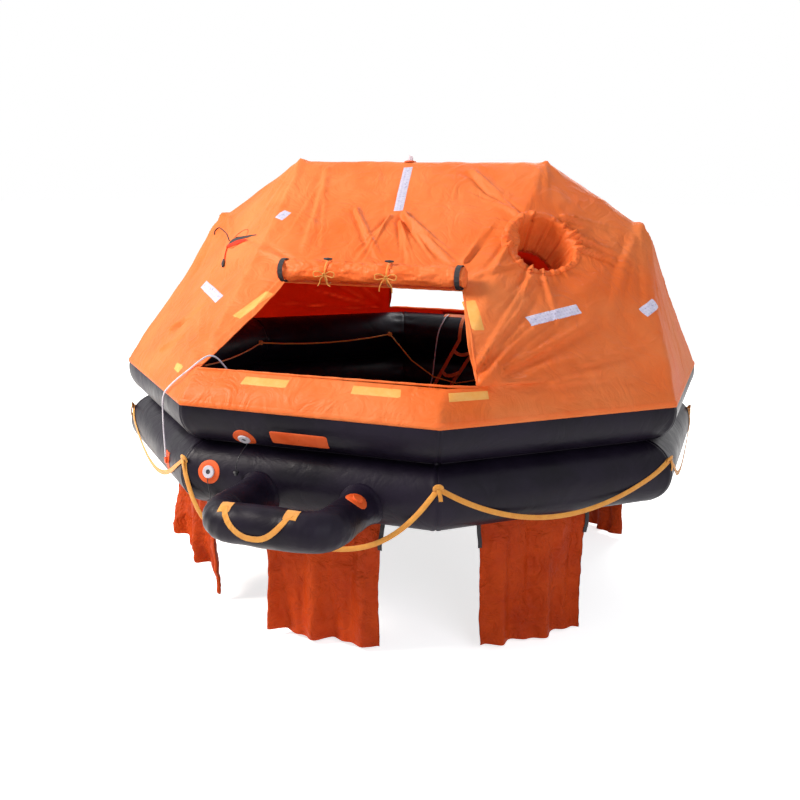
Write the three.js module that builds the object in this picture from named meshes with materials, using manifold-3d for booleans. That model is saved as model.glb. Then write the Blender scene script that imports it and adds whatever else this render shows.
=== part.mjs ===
// Inflated canopied liferaft for fourteen people: two stacked octagonal buoyancy tubes, an arch tube,
// a canopy with two entrances and a look-out port, a boarding ramp, lifelines and water ballast bags.
// Millimetres, +Z up. The front entrance faces -Y and the arch stands in the XZ plane.
// The origin is the centre of the floor's underside.

import * as THREE from 'three';
import { ConvexGeometry } from 'three/addons/geometries/ConvexGeometry.js';
import { mergeVertices } from 'three/addons/utils/BufferGeometryUtils.js';
import Module from 'manifold-3d';

const wasm = await Module();
wasm.setup();

// Clearance between pieces that touch
const GAP = 0.3;

// Buoyancy ring: inner apothem from 5.2 square metres of floor
const INNER_APOTHEM = 1250;
const TUBE_RADIUS = 158;
const TUBE_SECTION_SIDES = 24;

// Floor tray, whose rim is glued up the inside of the lower tube
const FLOOR_THICKNESS = 12;
const FLOOR_TUCK = 83;          // how far the floor's edge lies inside the tube's centre line
const FLOOR_RIM_WIDTH = 40;
const FLOOR_RIM_HEIGHT = 60;

// Arch tube, carried on the upper tube at both sides
const ARCH_RADIUS = 100;
const ARCH_FOOT_OUTSET = 14;    // foot's centre line, outward of the tube's centre line
const ARCH_SHOULDER_X = 1220;
const ARCH_SHOULDER_RISE = 778; // above the upper tube's centre line
const ARCH_TOP_X = 718;
const ARCH_TOP_RISE = 1100;

// Canopy cloth, stretched over the upper tube and the arch
const CANOPY_THICKNESS = 4;
const SKIRT_RISE = 40;          // canopy's lower edge above the upper tube's centre line

// Entrances, front and rear, each with its flap rolled up over it
const SILL_RISE = 26;           // entrance's lower edge above the top of the upper tube
const ENTRANCE_HEIGHT = 386;
const SILL_HALF_WIDTH = 685;
const HEAD_HALF_WIDTH = 482;
const ENTRANCE_CORNER = 25;
const FRONT_ENTRANCE_SHIFT = 60;
const FLAP_LENGTH = 992;
const FLAP_RADIUS = 50;
const FLAP_SEAT = 12;           // above the entrance's head
const FLAP_TURN_STEP = 7;       // step where the flap's outer turn ends
const FLAP_STRAP_WIDTH = 26;
const FLAP_STRAP_THICKNESS = 2.4;
const FLAP_STRAP_INSET = 14;
const FLAP_TIE_DIAMETER = 7;
const FLAP_TIE_SPACING = 330;
const TOGGLE_RADIUS = 7;
const TOGGLE_LENGTH = 46;

// Look-out port with its gathered sleeve, and the rain collector
const PORT_X = 840;
const PORT_Y = -473;
const PORT_RADIUS = 185;
const SLEEVE_WALL = 5;
const SLEEVE_LENGTH = 240;
const SLEEVE_END_RADIUS = 125;
const SLEEVE_FOLDS = 9;
const SLEEVE_FOLD_DEPTH = 9;
const COLLECTOR_X = -940;
const COLLECTOR_Y = -440;
const COLLECTOR_WIDTH = 120;
const COLLECTOR_HEIGHT = 60;
const COLLECTOR_MOUTH_RADIUS = 76;
const COLLECTOR_WALL = 4;
const COLLECTOR_DEPTH = 150;
const SPOUT_RADIUS = 16;
const SPOUT_LENGTH = 130;

// Locator light on the ridge
const LIGHT_X = -55;
const LIGHT_BASE_RADIUS = 34;
const LIGHT_BASE_HEIGHT = 9;
const LIGHT_DOME_RADIUS = 17;
const LIGHT_DOME_HEIGHT = 30;

// Boarding ramp: a U-shaped tube below the front entrance
const RAMP_RADIUS = 90;
const RAMP_HALF_WIDTH = 258;
const RAMP_REACH = 562;         // front bar's centre line, outward of the tube's centre line
const RAMP_DROP = 42;           // below the lower tube's centre line
const RAMP_SHIFT = 20;
const RAMP_CORNER = 120;
const HANDLE_HALF_SPAN = 155;
const HANDLE_DROP = 110;
const RAMP_PATCH_INSET = 265;   // valve patch, back from the front bar
const RAMP_PATCH_RADIUS = 52;
const RAMP_PATCH_LEAN = 62;     // angle of the patch's middle above the horizontal
const CAP_RADIUS = 24;
const CAP_HEIGHT = 9;

// Topping-up valves on the front tubes
const UPPER_VALVE_ALONG = -328;
const UPPER_VALVE_LEAN = -44;
const LOWER_VALVE_ALONG = -500;
const LOWER_VALVE_LEAN = 13;
const PATCH_THICKNESS = 2.5;
const VALVE_PATCH_RADIUS = 57;
const VALVE_FLANGE_RADIUS = 31;
const VALVE_FLANGE_HEIGHT = 7;
const VALVE_BARREL_RADIUS = 20;
const VALVE_BARREL_DEPTH = 34;
const VALVE_BORE_RADIUS = 12;
const VALVE_BORE_DEPTH = 25;
const POPPET_CLEARANCE = 0.6;
const POPPET_TRAVEL = 4;
const POPPET_HEAD = 5;
const POPPET_STEM_RADIUS = 5;
const PLUG_RADIUS = 14;
const PLUG_HEIGHT = 20;
const TETHER_DIAMETER = 4;

// Name patch, left plain
const NAME_PATCH_ALONG = -36;
const NAME_PATCH_LENGTH = 290;
const NAME_PATCH_HEIGHT = 78;
const NAME_PATCH_LEAN = -33;

// Lifelines
const WEBBING_WIDTH = 25;
const WEBBING_THICKNESS = 3;
const OUTER_LINE_LEAN = 30;     // angle of the outer line's patches above the horizontal
const OUTER_LINE_SAG = 200;
const RAMP_LINE_SAG = 345;      // the front swag hangs below the ramp
const RAMP_LINE_RIGHT_POWER = 3;
const RAMP_LINE_LEFT_POWER = 9;
const LINE_PATCH_LENGTH = 90;
const LINE_PATCH_HEIGHT = 60;
const INNER_LINE_DIAMETER = 10;
const INNER_KNOB_ALONG = 400;
const INNER_KNOB_RADIUS = 16;
const INNER_KNOB_REACH = 14;
const INNER_LINE_SAG = 30;
const REAR_INNER_LINE_SAG = 330;

// Painter and its loop patch, and the white line at the rear entrance
const CORD_DIAMETER = 9;
const KNOT_RADIUS = 13;
const PAINTER_PATCH_ALONG = 340;
const PAINTER_PATCH_LEAN = -4;
const PAINTER_PATCH_LENGTH = 70;
const PAINTER_PATCH_HEIGHT = 110;
const EYE_RADIUS = 16;
const EYE_HEIGHT = 12;
const EYE_RISE = 12;            // above the patch's middle

// Webbing ladder inside the rear entrance
const LADDER_TOP_X = [-95, 60];
const LADDER_FOOT_X = [-345, -235];
const LADDER_RUNGS = 3;
const LADDER_BAND_LENGTH = 330;
const LADDER_BAND_HEIGHT = 60;
const LADDER_BAND_LEAN = 100;

// Water ballast bags, hanging limp below six of the eight edges
const BAG_WIDTH = 580;
const BAG_DROP = 655;
const BAG_THICKNESS = 18;
const BAG_WAVE = 9;
const BAG_OUTSET = 22;          // outward of the floor's edge

// Inflation cylinder in its cradle below the lower tube on the left
const CYLINDER_RADIUS = 70;
const CYLINDER_LENGTH = 520;
const CYLINDER_Y = 150;
const CYLINDER_NECK_RADIUS = 20;
const CYLINDER_BASE_RISE = 40;
const CYLINDER_SHOULDER = 60;
const CRADLE_WALL = 4;
const CRADLE_HALF_WIDTH = 80;
const CRADLE_LENGTH = 330;
const HEAD_RADIUS = 32;
const HEAD_LENGTH = 70;
const HOSE_RADIUS = 8;
const HOSE_BULGE = 48;

// Worked out from the dimensions above
const HALF_TURN = Math.PI / 8;
const VERTEX_STRETCH = 1 / Math.cos(HALF_TURN);
const TUBE_APOTHEM = INNER_APOTHEM + TUBE_RADIUS;
const FLOOR_APOTHEM = TUBE_APOTHEM - FLOOR_TUCK;
const LOWER_Z = FLOOR_THICKNESS + GAP + TUBE_RADIUS;
const UPPER_Z = LOWER_Z + 2 * TUBE_RADIUS + GAP;
const UPPER_TOP = UPPER_Z + TUBE_RADIUS;
const SKIRT_Z = UPPER_Z + SKIRT_RISE;
const ARCH_TOP_Z = UPPER_Z + ARCH_TOP_RISE;
const CANOPY_LIFT = GAP + CANOPY_THICKNESS;
const SILL_Z = UPPER_TOP + CANOPY_LIFT + SILL_RISE;
const HEAD_Z = SILL_Z + ENTRANCE_HEIGHT;
const RIDGE_Z = ARCH_TOP_Z + ARCH_RADIUS + CANOPY_LIFT;
const FAR = 3 * TUBE_APOTHEM;

const EDGE = {
  front: -90, frontRight: -45, right: 0, rearRight: 45,
  rear: 90, rearLeft: 135, left: 180, frontLeft: -135,
};

const radians = THREE.MathUtils.degToRad;
const v3 = (x, y, z) => new THREE.Vector3(x, y, z);
const raft = new THREE.Group();

// Materials
const paint = (color, roughness, metalness = 0) =>
  new THREE.MeshStandardMaterial({ color, roughness, metalness });
const BLACK_RUBBER = [0x232028, 0.42];
const ORANGE_CLOTH = [0xf47b45, 0.72];
const BAG_CLOTH = [0xc4421f, 0.8];
const ORANGE_PATCH = [0xd9622e, 0.7];
const YELLOW_WEBBING = [0xd9902f, 0.75];
const ORANGE_WEBBING = [0xde6420, 0.75];
const VALVE_PLASTIC = [0xc9c6cc, 0.4];
const BLACK_PLASTIC = [0x151518, 0.5];
const WHITE_PLASTIC = [0xe6e4e8, 0.4];
const WHITE_CORD = [0xddd6e2, 0.8];
const GREY_STEEL = [0x8c9096, 0.35, 0.9];
const BRASS = [0xb08a4a, 0.35, 0.9];

// Solids: closed meshes joined and cut
function signedVolume(position, index) {
  const [a, b, c] = [v3(), v3(), v3()];
  let sum = 0;
  for (let i = 0; i < index.length; i += 3) {
    a.fromArray(position, 3 * index[i]);
    b.fromArray(position, 3 * index[i + 1]);
    c.fromArray(position, 3 * index[i + 2]);
    sum += a.dot(b.cross(c));
  }
  return sum / 6;
}

function solidOf(geometry, matrix = new THREE.Matrix4()) {
  const bare = geometry.clone().applyMatrix4(matrix);
  bare.deleteAttribute('normal');
  bare.deleteAttribute('uv');
  const merged = mergeVertices(bare, 1e-3);
  const position = Float32Array.from(merged.attributes.position.array);
  const index = [];
  for (let i = 0; i < merged.index.count; i += 3) {
    const [a, b, c] = [0, 1, 2].map((k) => merged.index.getX(i + k));
    if (a !== b && b !== c && c !== a) index.push(a, b, c);
  }
  if (signedVolume(position, index) < 0) index.reverse();
  return new wasm.Manifold(new wasm.Mesh({
    numProp: 3, vertProperties: position, triVerts: Uint32Array.from(index),
  }));
}

function geometryOf(solid) {
  const mesh = solid.getMesh();
  const geometry = new THREE.BufferGeometry();
  geometry.setAttribute('position', new THREE.BufferAttribute(new Float32Array(mesh.vertProperties), 3));
  geometry.setIndex(new THREE.BufferAttribute(new Uint32Array(mesh.triVerts), 1));
  geometry.computeVertexNormals();
  return geometry;
}

function add(name, solid, finish) {
  const mesh = new THREE.Mesh(geometryOf(solid), paint(...finish));
  mesh.name = name;
  raft.add(mesh);
  return solid;
}

const union = (solids) => solids.reduce((sum, solid) => sum.add(solid));
const place = (x, y, z) => new THREE.Matrix4().makeTranslation(x, y, z);
const block = (low, high) => solidOf(
  new THREE.BoxGeometry(high[0] - low[0], high[1] - low[1], high[2] - low[2]),
  place((low[0] + high[0]) / 2, (low[1] + high[1]) / 2, (low[2] + high[2]) / 2),
);

// A solid of revolution about the local Z axis, from [radius, height] pairs
function turned(profile, matrix, sides = 24) {
  const lathe = new THREE.LatheGeometry(profile.map(([r, h]) => new THREE.Vector2(r, h)), sides);
  return solidOf(lathe.rotateX(Math.PI / 2), matrix);
}

const rod = (radius, low, high, matrix, sides = 24) =>
  turned([[0, low], [radius, low], [radius, high], [0, high]], matrix, sides);

// Frame with its Z axis along a direction and its X axis near another
function aimed(origin, out, along) {
  const z = out.clone().normalize();
  const y = z.clone().cross(along).normalize();
  const x = y.clone().cross(z);
  return new THREE.Matrix4().makeBasis(x, y, z).setPosition(origin);
}

// Directions of one edge of the octagon
const outOf = (angle) => v3(Math.cos(radians(angle)), Math.sin(radians(angle)), 0);
const alongOf = (angle) => v3(-Math.sin(radians(angle)), Math.cos(radians(angle)), 0);

// Point at a height and distance from the tube's centre line, leaning from the horizontal
function ringPoint(angle, along, centreZ, lean, radius) {
  const apothem = TUBE_APOTHEM + radius * Math.cos(radians(lean));
  const point = outOf(angle).multiplyScalar(apothem).addScaledVector(alongOf(angle), along);
  point.z = centreZ + radius * Math.sin(radians(lean));
  return point;
}

// Frame on the tube's surface: Z outwards, X along the edge
function onTube(angle, along, centreZ, lean, radius = TUBE_RADIUS) {
  const out = outOf(angle).multiplyScalar(Math.cos(radians(lean)));
  out.z = Math.sin(radians(lean));
  return aimed(ringPoint(angle, along, centreZ, lean, radius), out, alongOf(angle));
}

// Octagonal prism with flat sides facing the axes
function octagon(apothem, low, high) {
  const prism = [[0, low], [apothem * VERTEX_STRETCH, low], [apothem * VERTEX_STRETCH, high], [0, high]];
  const lathe = new THREE.LatheGeometry(prism.map(([r, h]) => new THREE.Vector2(r, h)), 8, HALF_TURN);
  return solidOf(lathe.rotateX(Math.PI / 2));
}

// Octagonal ring of round section, mitred at its corners
function tubeRing(centreZ, radius) {
  const profile = [];
  for (let i = 0; i <= TUBE_SECTION_SIDES; i++) {
    const angle = (2 * Math.PI * i) / TUBE_SECTION_SIDES;
    const apothem = TUBE_APOTHEM + radius * Math.cos(angle);
    profile.push(new THREE.Vector2(apothem * VERTEX_STRETCH, centreZ + radius * Math.sin(angle)));
  }
  return solidOf(new THREE.LatheGeometry(profile, 8, HALF_TURN).rotateX(Math.PI / 2));
}

const circle = (radius, sides) => Array.from({ length: sides }, (_, i) => {
  const angle = (2 * Math.PI * (i + 0.5)) / sides;
  return new THREE.Vector2(radius * Math.cos(angle), radius * Math.sin(angle));
});
const strip = (width, thickness) => [[-1, -1], [1, -1], [1, 1], [-1, 1]]
  .map(([x, y]) => new THREE.Vector2((x * width) / 2, (y * thickness) / 2));

// Section carried along straight runs and mitred at each point. The section's Y axis follows up.
function sweep(points, section, ups, { closed = false, mitred = false } = {}) {
  const count = points.length;
  const sides = section.length;
  const position = [];
  for (let i = 0; i < count; i++) {
    const before = points[closed ? (i + count - 1) % count : Math.max(i - 1, 0)];
    const after = points[closed ? (i + 1) % count : Math.min(i + 1, count - 1)];
    const arriving = points[i].clone().sub(before).normalize();
    const leaving = after.clone().sub(points[i]).normalize();
    const tangent = arriving.clone().add(leaving).normalize();
    const up = Array.isArray(ups) ? ups[i] : ups;
    const side = up.clone().cross(tangent).normalize();
    const level = tangent.clone().cross(side);
    const ends = !closed && (i === 0 || i === count - 1);
    const stretch = mitred && !ends ? 1 / Math.max(tangent.dot(leaving), 0.5) : 1;
    for (const { x, y } of section) {
      const point = points[i].clone().addScaledVector(side, x * stretch).addScaledVector(level, y);
      position.push(point.x, point.y, point.z);
    }
  }
  const index = [];
  const rings = closed ? count : count - 1;
  for (let i = 0; i < rings; i++) {
    for (let j = 0; j < sides; j++) {
      const [a, b] = [i * sides + j, i * sides + ((j + 1) % sides)];
      const [c, d] = [((i + 1) % count) * sides + j, ((i + 1) % count) * sides + ((j + 1) % sides)];
      index.push(a, b, d, a, d, c);
    }
  }
  if (!closed) {
    const last = (count - 1) * sides;
    for (let j = 1; j < sides - 1; j++) index.push(0, j + 1, j, last, last + j, last + j + 1);
  }
  const geometry = new THREE.BufferGeometry();
  geometry.setAttribute('position', new THREE.Float32BufferAttribute(position, 3));
  geometry.setIndex(index);
  return solidOf(geometry);
}

// Path with its corners rounded to a radius
function rounded(points, radius, steps) {
  const path = [points[0]];
  for (let i = 1; i < points.length - 1; i++) {
    const toBefore = points[i - 1].clone().sub(points[i]).normalize();
    const toAfter = points[i + 1].clone().sub(points[i]).normalize();
    const half = toBefore.angleTo(toAfter) / 2;
    const reach = radius / Math.tan(half);
    const centre = toBefore.clone().add(toAfter).normalize()
      .multiplyScalar(radius / Math.sin(half)).add(points[i]);
    const from = toBefore.multiplyScalar(reach).add(points[i]).sub(centre);
    const to = toAfter.multiplyScalar(reach).add(points[i]).sub(centre);
    const turn = from.angleTo(to);
    for (let k = 0; k <= steps; k++) {
      const t = k / steps;
      path.push(from.clone().multiplyScalar(Math.sin((1 - t) * turn) / Math.sin(turn))
        .addScaledVector(to, Math.sin(t * turn) / Math.sin(turn)).add(centre));
    }
  }
  path.push(points[points.length - 1]);
  return path;
}

// Round cord along a smooth curve through its points
function cordOf(points, diameter, steps) {
  const curve = new THREE.CatmullRomCurve3(points);
  const shape = new THREE.Shape(circle(diameter / 2, 8));
  return solidOf(new THREE.ExtrudeGeometry(shape, { steps, extrudePath: curve, bevelEnabled: false }));
}

// Thin patch glued on a surface, cut to an outline by a cutter solid
const upperRing = tubeRing(UPPER_Z, TUBE_RADIUS);
const lowerRing = tubeRing(LOWER_Z, TUBE_RADIUS);
const upperClear = tubeRing(UPPER_Z, TUBE_RADIUS + GAP);
const lowerClear = tubeRing(LOWER_Z, TUBE_RADIUS + GAP);
const upperSkin = tubeRing(UPPER_Z, TUBE_RADIUS + GAP + PATCH_THICKNESS).subtract(upperClear);
const lowerSkin = tubeRing(LOWER_Z, TUBE_RADIUS + GAP + PATCH_THICKNESS).subtract(lowerClear);
const plate = (length, height, depth, matrix) =>
  solidOf(new THREE.BoxGeometry(length, height, depth), matrix);

// Topping-up valve: patch, barrel in a pocket of the tube, sprung poppet
function valvePocket(matrix) {
  const radius = VALVE_BARREL_RADIUS + GAP;
  return rod(radius, -VALVE_BARREL_DEPTH - GAP, TUBE_RADIUS / 4, matrix);
}

function addValve(name, skin, matrix) {
  const seat = GAP + PATCH_THICKNESS + GAP;
  const top = seat + VALVE_FLANGE_HEIGHT;
  const disc = rod(VALVE_PATCH_RADIUS, -TUBE_RADIUS / 4, TUBE_RADIUS / 4, matrix);
  add(`${name}_valve_patch`, skin.intersect(disc).subtract(valvePocket(matrix)), ORANGE_PATCH);
  add(`${name}_valve_body`, turned([
    [0, -VALVE_BARREL_DEPTH], [VALVE_BARREL_RADIUS, -VALVE_BARREL_DEPTH], [VALVE_BARREL_RADIUS, seat],
    [VALVE_FLANGE_RADIUS, seat], [VALVE_FLANGE_RADIUS, top - 3], [VALVE_FLANGE_RADIUS - 3, top],
    [VALVE_BORE_RADIUS, top], [VALVE_BORE_RADIUS, -VALVE_BORE_DEPTH], [0, -VALVE_BORE_DEPTH],
  ], matrix), VALVE_PLASTIC);
  const headTop = seat + POPPET_HEAD / 2;
  const headRadius = VALVE_BORE_RADIUS - POPPET_CLEARANCE;
  const stemEnd = -VALVE_BORE_DEPTH + POPPET_TRAVEL + 1;
  add(`${name}_valve_poppet`, turned([
    [0, stemEnd], [POPPET_STEM_RADIUS, stemEnd], [POPPET_STEM_RADIUS, headTop - POPPET_HEAD],
    [headRadius, headTop - POPPET_HEAD], [headRadius, headTop], [0, headTop],
  ], matrix), BLACK_PLASTIC);
}

// Tethered plug of a valve, hanging at the end of its cord
function addPlug(name, route) {
  add(`${name}_plug_tether`, cordOf(route, TETHER_DIAMETER, 12), BLACK_RUBBER);
  const end = route[route.length - 1];
  add(`${name}_plug`, turned([
    [0, -PLUG_HEIGHT], [PLUG_RADIUS * 0.6, -PLUG_HEIGHT], [PLUG_RADIUS * 0.6, -PLUG_HEIGHT * 0.45],
    [PLUG_RADIUS, -PLUG_HEIGHT * 0.45], [PLUG_RADIUS, -2], [PLUG_RADIUS - 2, 0], [0, 0],
  ], place(end.x, end.y, end.z - GAP), 20), BLACK_PLASTIC);
}

const upperValve = onTube(EDGE.front, UPPER_VALVE_ALONG, UPPER_Z, UPPER_VALVE_LEAN);
const lowerValve = onTube(EDGE.front, LOWER_VALVE_ALONG, LOWER_Z, LOWER_VALVE_LEAN);

add('upper_buoyancy_tube', upperRing.subtract(valvePocket(upperValve)), BLACK_RUBBER);
add('lower_buoyancy_tube', lowerRing.subtract(valvePocket(lowerValve)), BLACK_RUBBER);
addValve('upper', upperSkin, upperValve);
addValve('lower', lowerSkin, lowerValve);

const plugHang = (matrix, lean, drop) => {
  const lift = 2 * GAP + PATCH_THICKNESS + VALVE_FLANGE_HEIGHT / 2;
  const [rim, start] = [0, 2 * TETHER_DIAMETER]
    .map((away) => v3(0, -VALVE_FLANGE_RADIUS - GAP - away, lift).applyMatrix4(matrix));
  const clear = -(TUBE_APOTHEM + TUBE_RADIUS + PLUG_RADIUS + 2);
  const points = [rim, start];
  for (const share of [0.25, 0.5, 0.75]) {
    const y = THREE.MathUtils.lerp(start.y, clear, Math.sin((share * Math.PI) / 1.5));
    points.push(v3(start.x + lean * share * 4 / 3, y, start.z - drop * share));
  }
  points.push(v3(start.x + lean, clear, start.z - drop * 0.9), v3(start.x + lean, clear, start.z - drop));
  return points;
};
addPlug('upper', plugHang(upperValve, -14, 112));
addPlug('lower', plugHang(lowerValve, 16, 96));

// Floor tray
const tray = octagon(FLOOR_APOTHEM, 0, FLOOR_RIM_HEIGHT)
  .subtract(octagon(FLOOR_APOTHEM - FLOOR_RIM_WIDTH, FLOOR_THICKNESS, FLOOR_RIM_HEIGHT + 1))
  .subtract(lowerClear);
add('floor_panel', tray, BLACK_RUBBER);

// Arch tube
const archLine = [
  [TUBE_APOTHEM + ARCH_FOOT_OUTSET, UPPER_Z], [ARCH_SHOULDER_X, UPPER_Z + ARCH_SHOULDER_RISE],
  [ARCH_TOP_X, ARCH_TOP_Z], [-ARCH_TOP_X, ARCH_TOP_Z],
  [-ARCH_SHOULDER_X, UPPER_Z + ARCH_SHOULDER_RISE], [-TUBE_APOTHEM - ARCH_FOOT_OUTSET, UPPER_Z],
].map(([x, z]) => v3(x, 0, z));
const archOf = (radius) => sweep(archLine, circle(radius, TUBE_SECTION_SIDES), v3(0, 1, 0), { mitred: true });
add('arch_tube', archOf(ARCH_RADIUS).subtract(upperClear), BLACK_RUBBER);

// Outline of the cloth pulled tight over the ring and the arch, with a lift from both
function cover(lift) {
  const points = [];
  for (const solid of [tubeRing(UPPER_Z, TUBE_RADIUS + lift), archOf(ARCH_RADIUS + lift)]) {
    const { vertProperties } = solid.getMesh();
    for (let i = 0; i < vertProperties.length; i += 3) {
      const point = v3().fromArray(vertProperties, i);
      if (point.z >= UPPER_Z - 1) points.push(point);
    }
  }
  return solidOf(new ConvexGeometry(points));
}
const coverOutside = cover(CANOPY_LIFT);
const coverInside = cover(GAP);
const coverLining = cover(0);

// Point and outward direction on the cloth above a place in plan
const coverMesh = new THREE.Mesh(geometryOf(coverOutside));
function onCanopy(x, y) {
  const down = new THREE.Raycaster(v3(x, y, RIDGE_Z * 2), v3(0, 0, -1));
  const [hit] = down.intersectObject(coverMesh);
  return aimed(hit.point, hit.face.normal, v3(-hit.face.normal.y, hit.face.normal.x, 0));
}

// Entrance outline in the XZ plane, with rounded corners, cut through one side of the canopy
function entranceCutter(shift, side) {
  const corners = [
    v3(SILL_HALF_WIDTH, SILL_Z, 0), v3(HEAD_HALF_WIDTH, HEAD_Z, 0),
    v3(-HEAD_HALF_WIDTH, HEAD_Z, 0), v3(-SILL_HALF_WIDTH, SILL_Z, 0),
  ];
  const start = v3(0, SILL_Z, 0);
  const outline = rounded([start, ...corners, start], ENTRANCE_CORNER, 5).slice(0, -1);
  const shape = new THREE.Shape(outline.map((p) => new THREE.Vector2(p.x + shift, p.y)));
  const prism = new THREE.ExtrudeGeometry(shape, { depth: FAR, bevelEnabled: false, steps: 1 });
  prism.rotateX(Math.PI / 2);
  return solidOf(prism, place(0, side > 0 ? FAR : 0, 0));
}

const portFrame = onCanopy(PORT_X, PORT_Y);
const collectorFrame = onCanopy(COLLECTOR_X, COLLECTOR_Y);
const portHole = rod(PORT_RADIUS, -60, 60, portFrame, 32);
const collectorShape = new THREE.Shape([
  new THREE.Vector2(-COLLECTOR_WIDTH / 2, -COLLECTOR_HEIGHT / 2),
  new THREE.Vector2(COLLECTOR_WIDTH / 2, COLLECTOR_HEIGHT / 2),
  new THREE.Vector2(-COLLECTOR_WIDTH / 2, COLLECTOR_HEIGHT / 2),
]);
const collectorHole = solidOf(
  new THREE.ExtrudeGeometry(collectorShape, { depth: 120, bevelEnabled: false }).translate(0, 0, -60),
  collectorFrame,
);
const shell = coverOutside.subtract(coverInside)
  .subtract(block([-FAR, -FAR, -FAR], [FAR, FAR, SKIRT_Z]));
add('front_canopy', shell.subtract(block([-FAR, -GAP / 2, -FAR], [FAR, FAR, FAR]))
  .subtract(entranceCutter(FRONT_ENTRANCE_SHIFT, -1)).subtract(portHole).subtract(collectorHole), ORANGE_CLOTH);
add('rear_canopy', shell.subtract(block([-FAR, -FAR, -FAR], [FAR, GAP / 2, FAR]))
  .subtract(entranceCutter(0, 1)), ORANGE_CLOTH);

// Flat slope of the cloth from the upper tube to the ridge, as a line in the YZ plane
const slopeFrame = onCanopy(0, -TUBE_APOTHEM / 2);
const slopeOut = v3().setFromMatrixColumn(slopeFrame, 2);
const slope = {
  normal: new THREE.Vector2(-slopeOut.y, slopeOut.z),
  offset: slopeOut.dot(v3().setFromMatrixPosition(slopeFrame)),
};

// Rolled entrance flap with its end straps, tie cords and toggles
function addFlap(name, shift, side) {
  const bandSides = 16;
  const bandRadius = (FLAP_RADIUS + FLAP_TURN_STEP + GAP) / Math.cos(Math.PI / bandSides);
  const lift = bandRadius + FLAP_STRAP_THICKNESS + GAP;
  const { normal, offset } = slope;
  const height = HEAD_Z + FLAP_SEAT + lift * normal.y;
  const reach = (offset + lift - normal.y * height) / normal.x;
  const axis = aimed(v3(shift, side * reach, height), v3(1, 0, 0), v3(0, side * normal.x, normal.y));
  const roll = [];
  const rollSides = 24;
  for (let i = 0; i < rollSides; i++) {
    const radius = FLAP_RADIUS + (FLAP_TURN_STEP * i) / (rollSides - 1);
    const angle = (2 * Math.PI * (i + 1)) / rollSides + Math.PI / 4 + Math.PI / bandSides;
    roll.push(new THREE.Vector2(radius * Math.cos(angle), radius * Math.sin(angle)));
  }
  const rollShape = new THREE.Shape(roll);
  const rollSolid = new THREE.ExtrudeGeometry(rollShape, { depth: FLAP_LENGTH, bevelEnabled: false });
  add(`${name}_flap_roll`, solidOf(rollSolid.translate(0, 0, -FLAP_LENGTH / 2), axis), ORANGE_CLOTH);

  const band = (half, middle, thickness) => turned([
    [bandRadius, middle - half], [bandRadius + thickness, middle - half],
    [bandRadius + thickness, middle + half], [bandRadius, middle + half], [bandRadius, middle - half],
  ], axis, bandSides);
  const strapAt = FLAP_LENGTH / 2 - FLAP_STRAP_INSET - FLAP_STRAP_WIDTH / 2;
  for (const [hand, sign] of [['left', -1], ['right', 1]]) {
    add(`${name}_flap_strap_${hand}`,
      band(FLAP_STRAP_WIDTH / 2, sign * strapAt, FLAP_STRAP_THICKNESS), BLACK_PLASTIC);
    const tieAt = (sign * FLAP_TIE_SPACING) / 2 - FLAP_TIE_SPACING / 6;
    add(`${name}_flap_tie_${hand}`,
      band(FLAP_TIE_DIAMETER / 2, tieAt, FLAP_STRAP_THICKNESS), YELLOW_WEBBING);
    const toggleReach = bandRadius + FLAP_STRAP_THICKNESS + GAP + TOGGLE_RADIUS;
    const toggleAngle = (2 * Math.PI) / bandSides;
    const toggleOut = v3(toggleReach * Math.cos(toggleAngle), side * toggleReach * Math.sin(toggleAngle));
    const toggle = axis.clone().multiply(place(toggleOut.x, toggleOut.y, tieAt));
    add(`${name}_flap_toggle_${hand}`, turned([
      [0, -TOGGLE_LENGTH / 2], [TOGGLE_RADIUS * 0.6, -TOGGLE_LENGTH / 2], [TOGGLE_RADIUS, 0],
      [TOGGLE_RADIUS * 0.6, TOGGLE_LENGTH / 2], [0, TOGGLE_LENGTH / 2],
    ], toggle, 12), BLACK_PLASTIC);
  }
}
addFlap('front', FRONT_ENTRANCE_SHIFT, -1);
addFlap('rear', 0, 1);

// Gathered sleeve hanging inside the look-out port
function pleatedTube(topRadius, endRadius, length, folds, depth) {
  const around = folds * 4;
  const levels = 3;
  const position = [];
  const index = [];
  for (let i = 0; i <= levels; i++) {
    const share = i / levels;
    const radius = THREE.MathUtils.lerp(topRadius, endRadius, share);
    for (let j = 0; j < around; j++) {
      const angle = (2 * Math.PI * j) / around;
      const wavy = radius + depth * share * Math.cos(folds * angle);
      position.push(wavy * Math.cos(angle), wavy * Math.sin(angle), -length * share);
    }
  }
  const top = position.length / 3;
  position.push(0, 0, 0, 0, 0, -length);
  for (let j = 0; j < around; j++) {
    const next = (j + 1) % around;
    for (let i = 0; i < levels; i++) {
      const [a, b] = [i * around + j, i * around + next];
      index.push(a, a + around, b, b, a + around, b + around);
    }
    index.push(top, j, next, top + 1, levels * around + next, levels * around + j);
  }
  const geometry = new THREE.BufferGeometry();
  geometry.setAttribute('position', new THREE.Float32BufferAttribute(position, 3));
  geometry.setIndex(index);
  return geometry;
}
const sleeveTop = portFrame.clone().multiply(place(0, 0, 60));
const sleeveOuter = solidOf(pleatedTube(PORT_RADIUS + SLEEVE_WALL + 6, SLEEVE_END_RADIUS + SLEEVE_WALL,
  SLEEVE_LENGTH + 60, SLEEVE_FOLDS, SLEEVE_FOLD_DEPTH), sleeveTop);
const sleeveInner = solidOf(pleatedTube(PORT_RADIUS + 6, SLEEVE_END_RADIUS,
  SLEEVE_LENGTH + 61, SLEEVE_FOLDS, SLEEVE_FOLD_DEPTH), sleeveTop.clone().multiply(place(0, 0, 0.5)));
add('lookout_port_sleeve', sleeveOuter.subtract(sleeveInner).intersect(coverLining), ORANGE_CLOTH);

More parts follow.
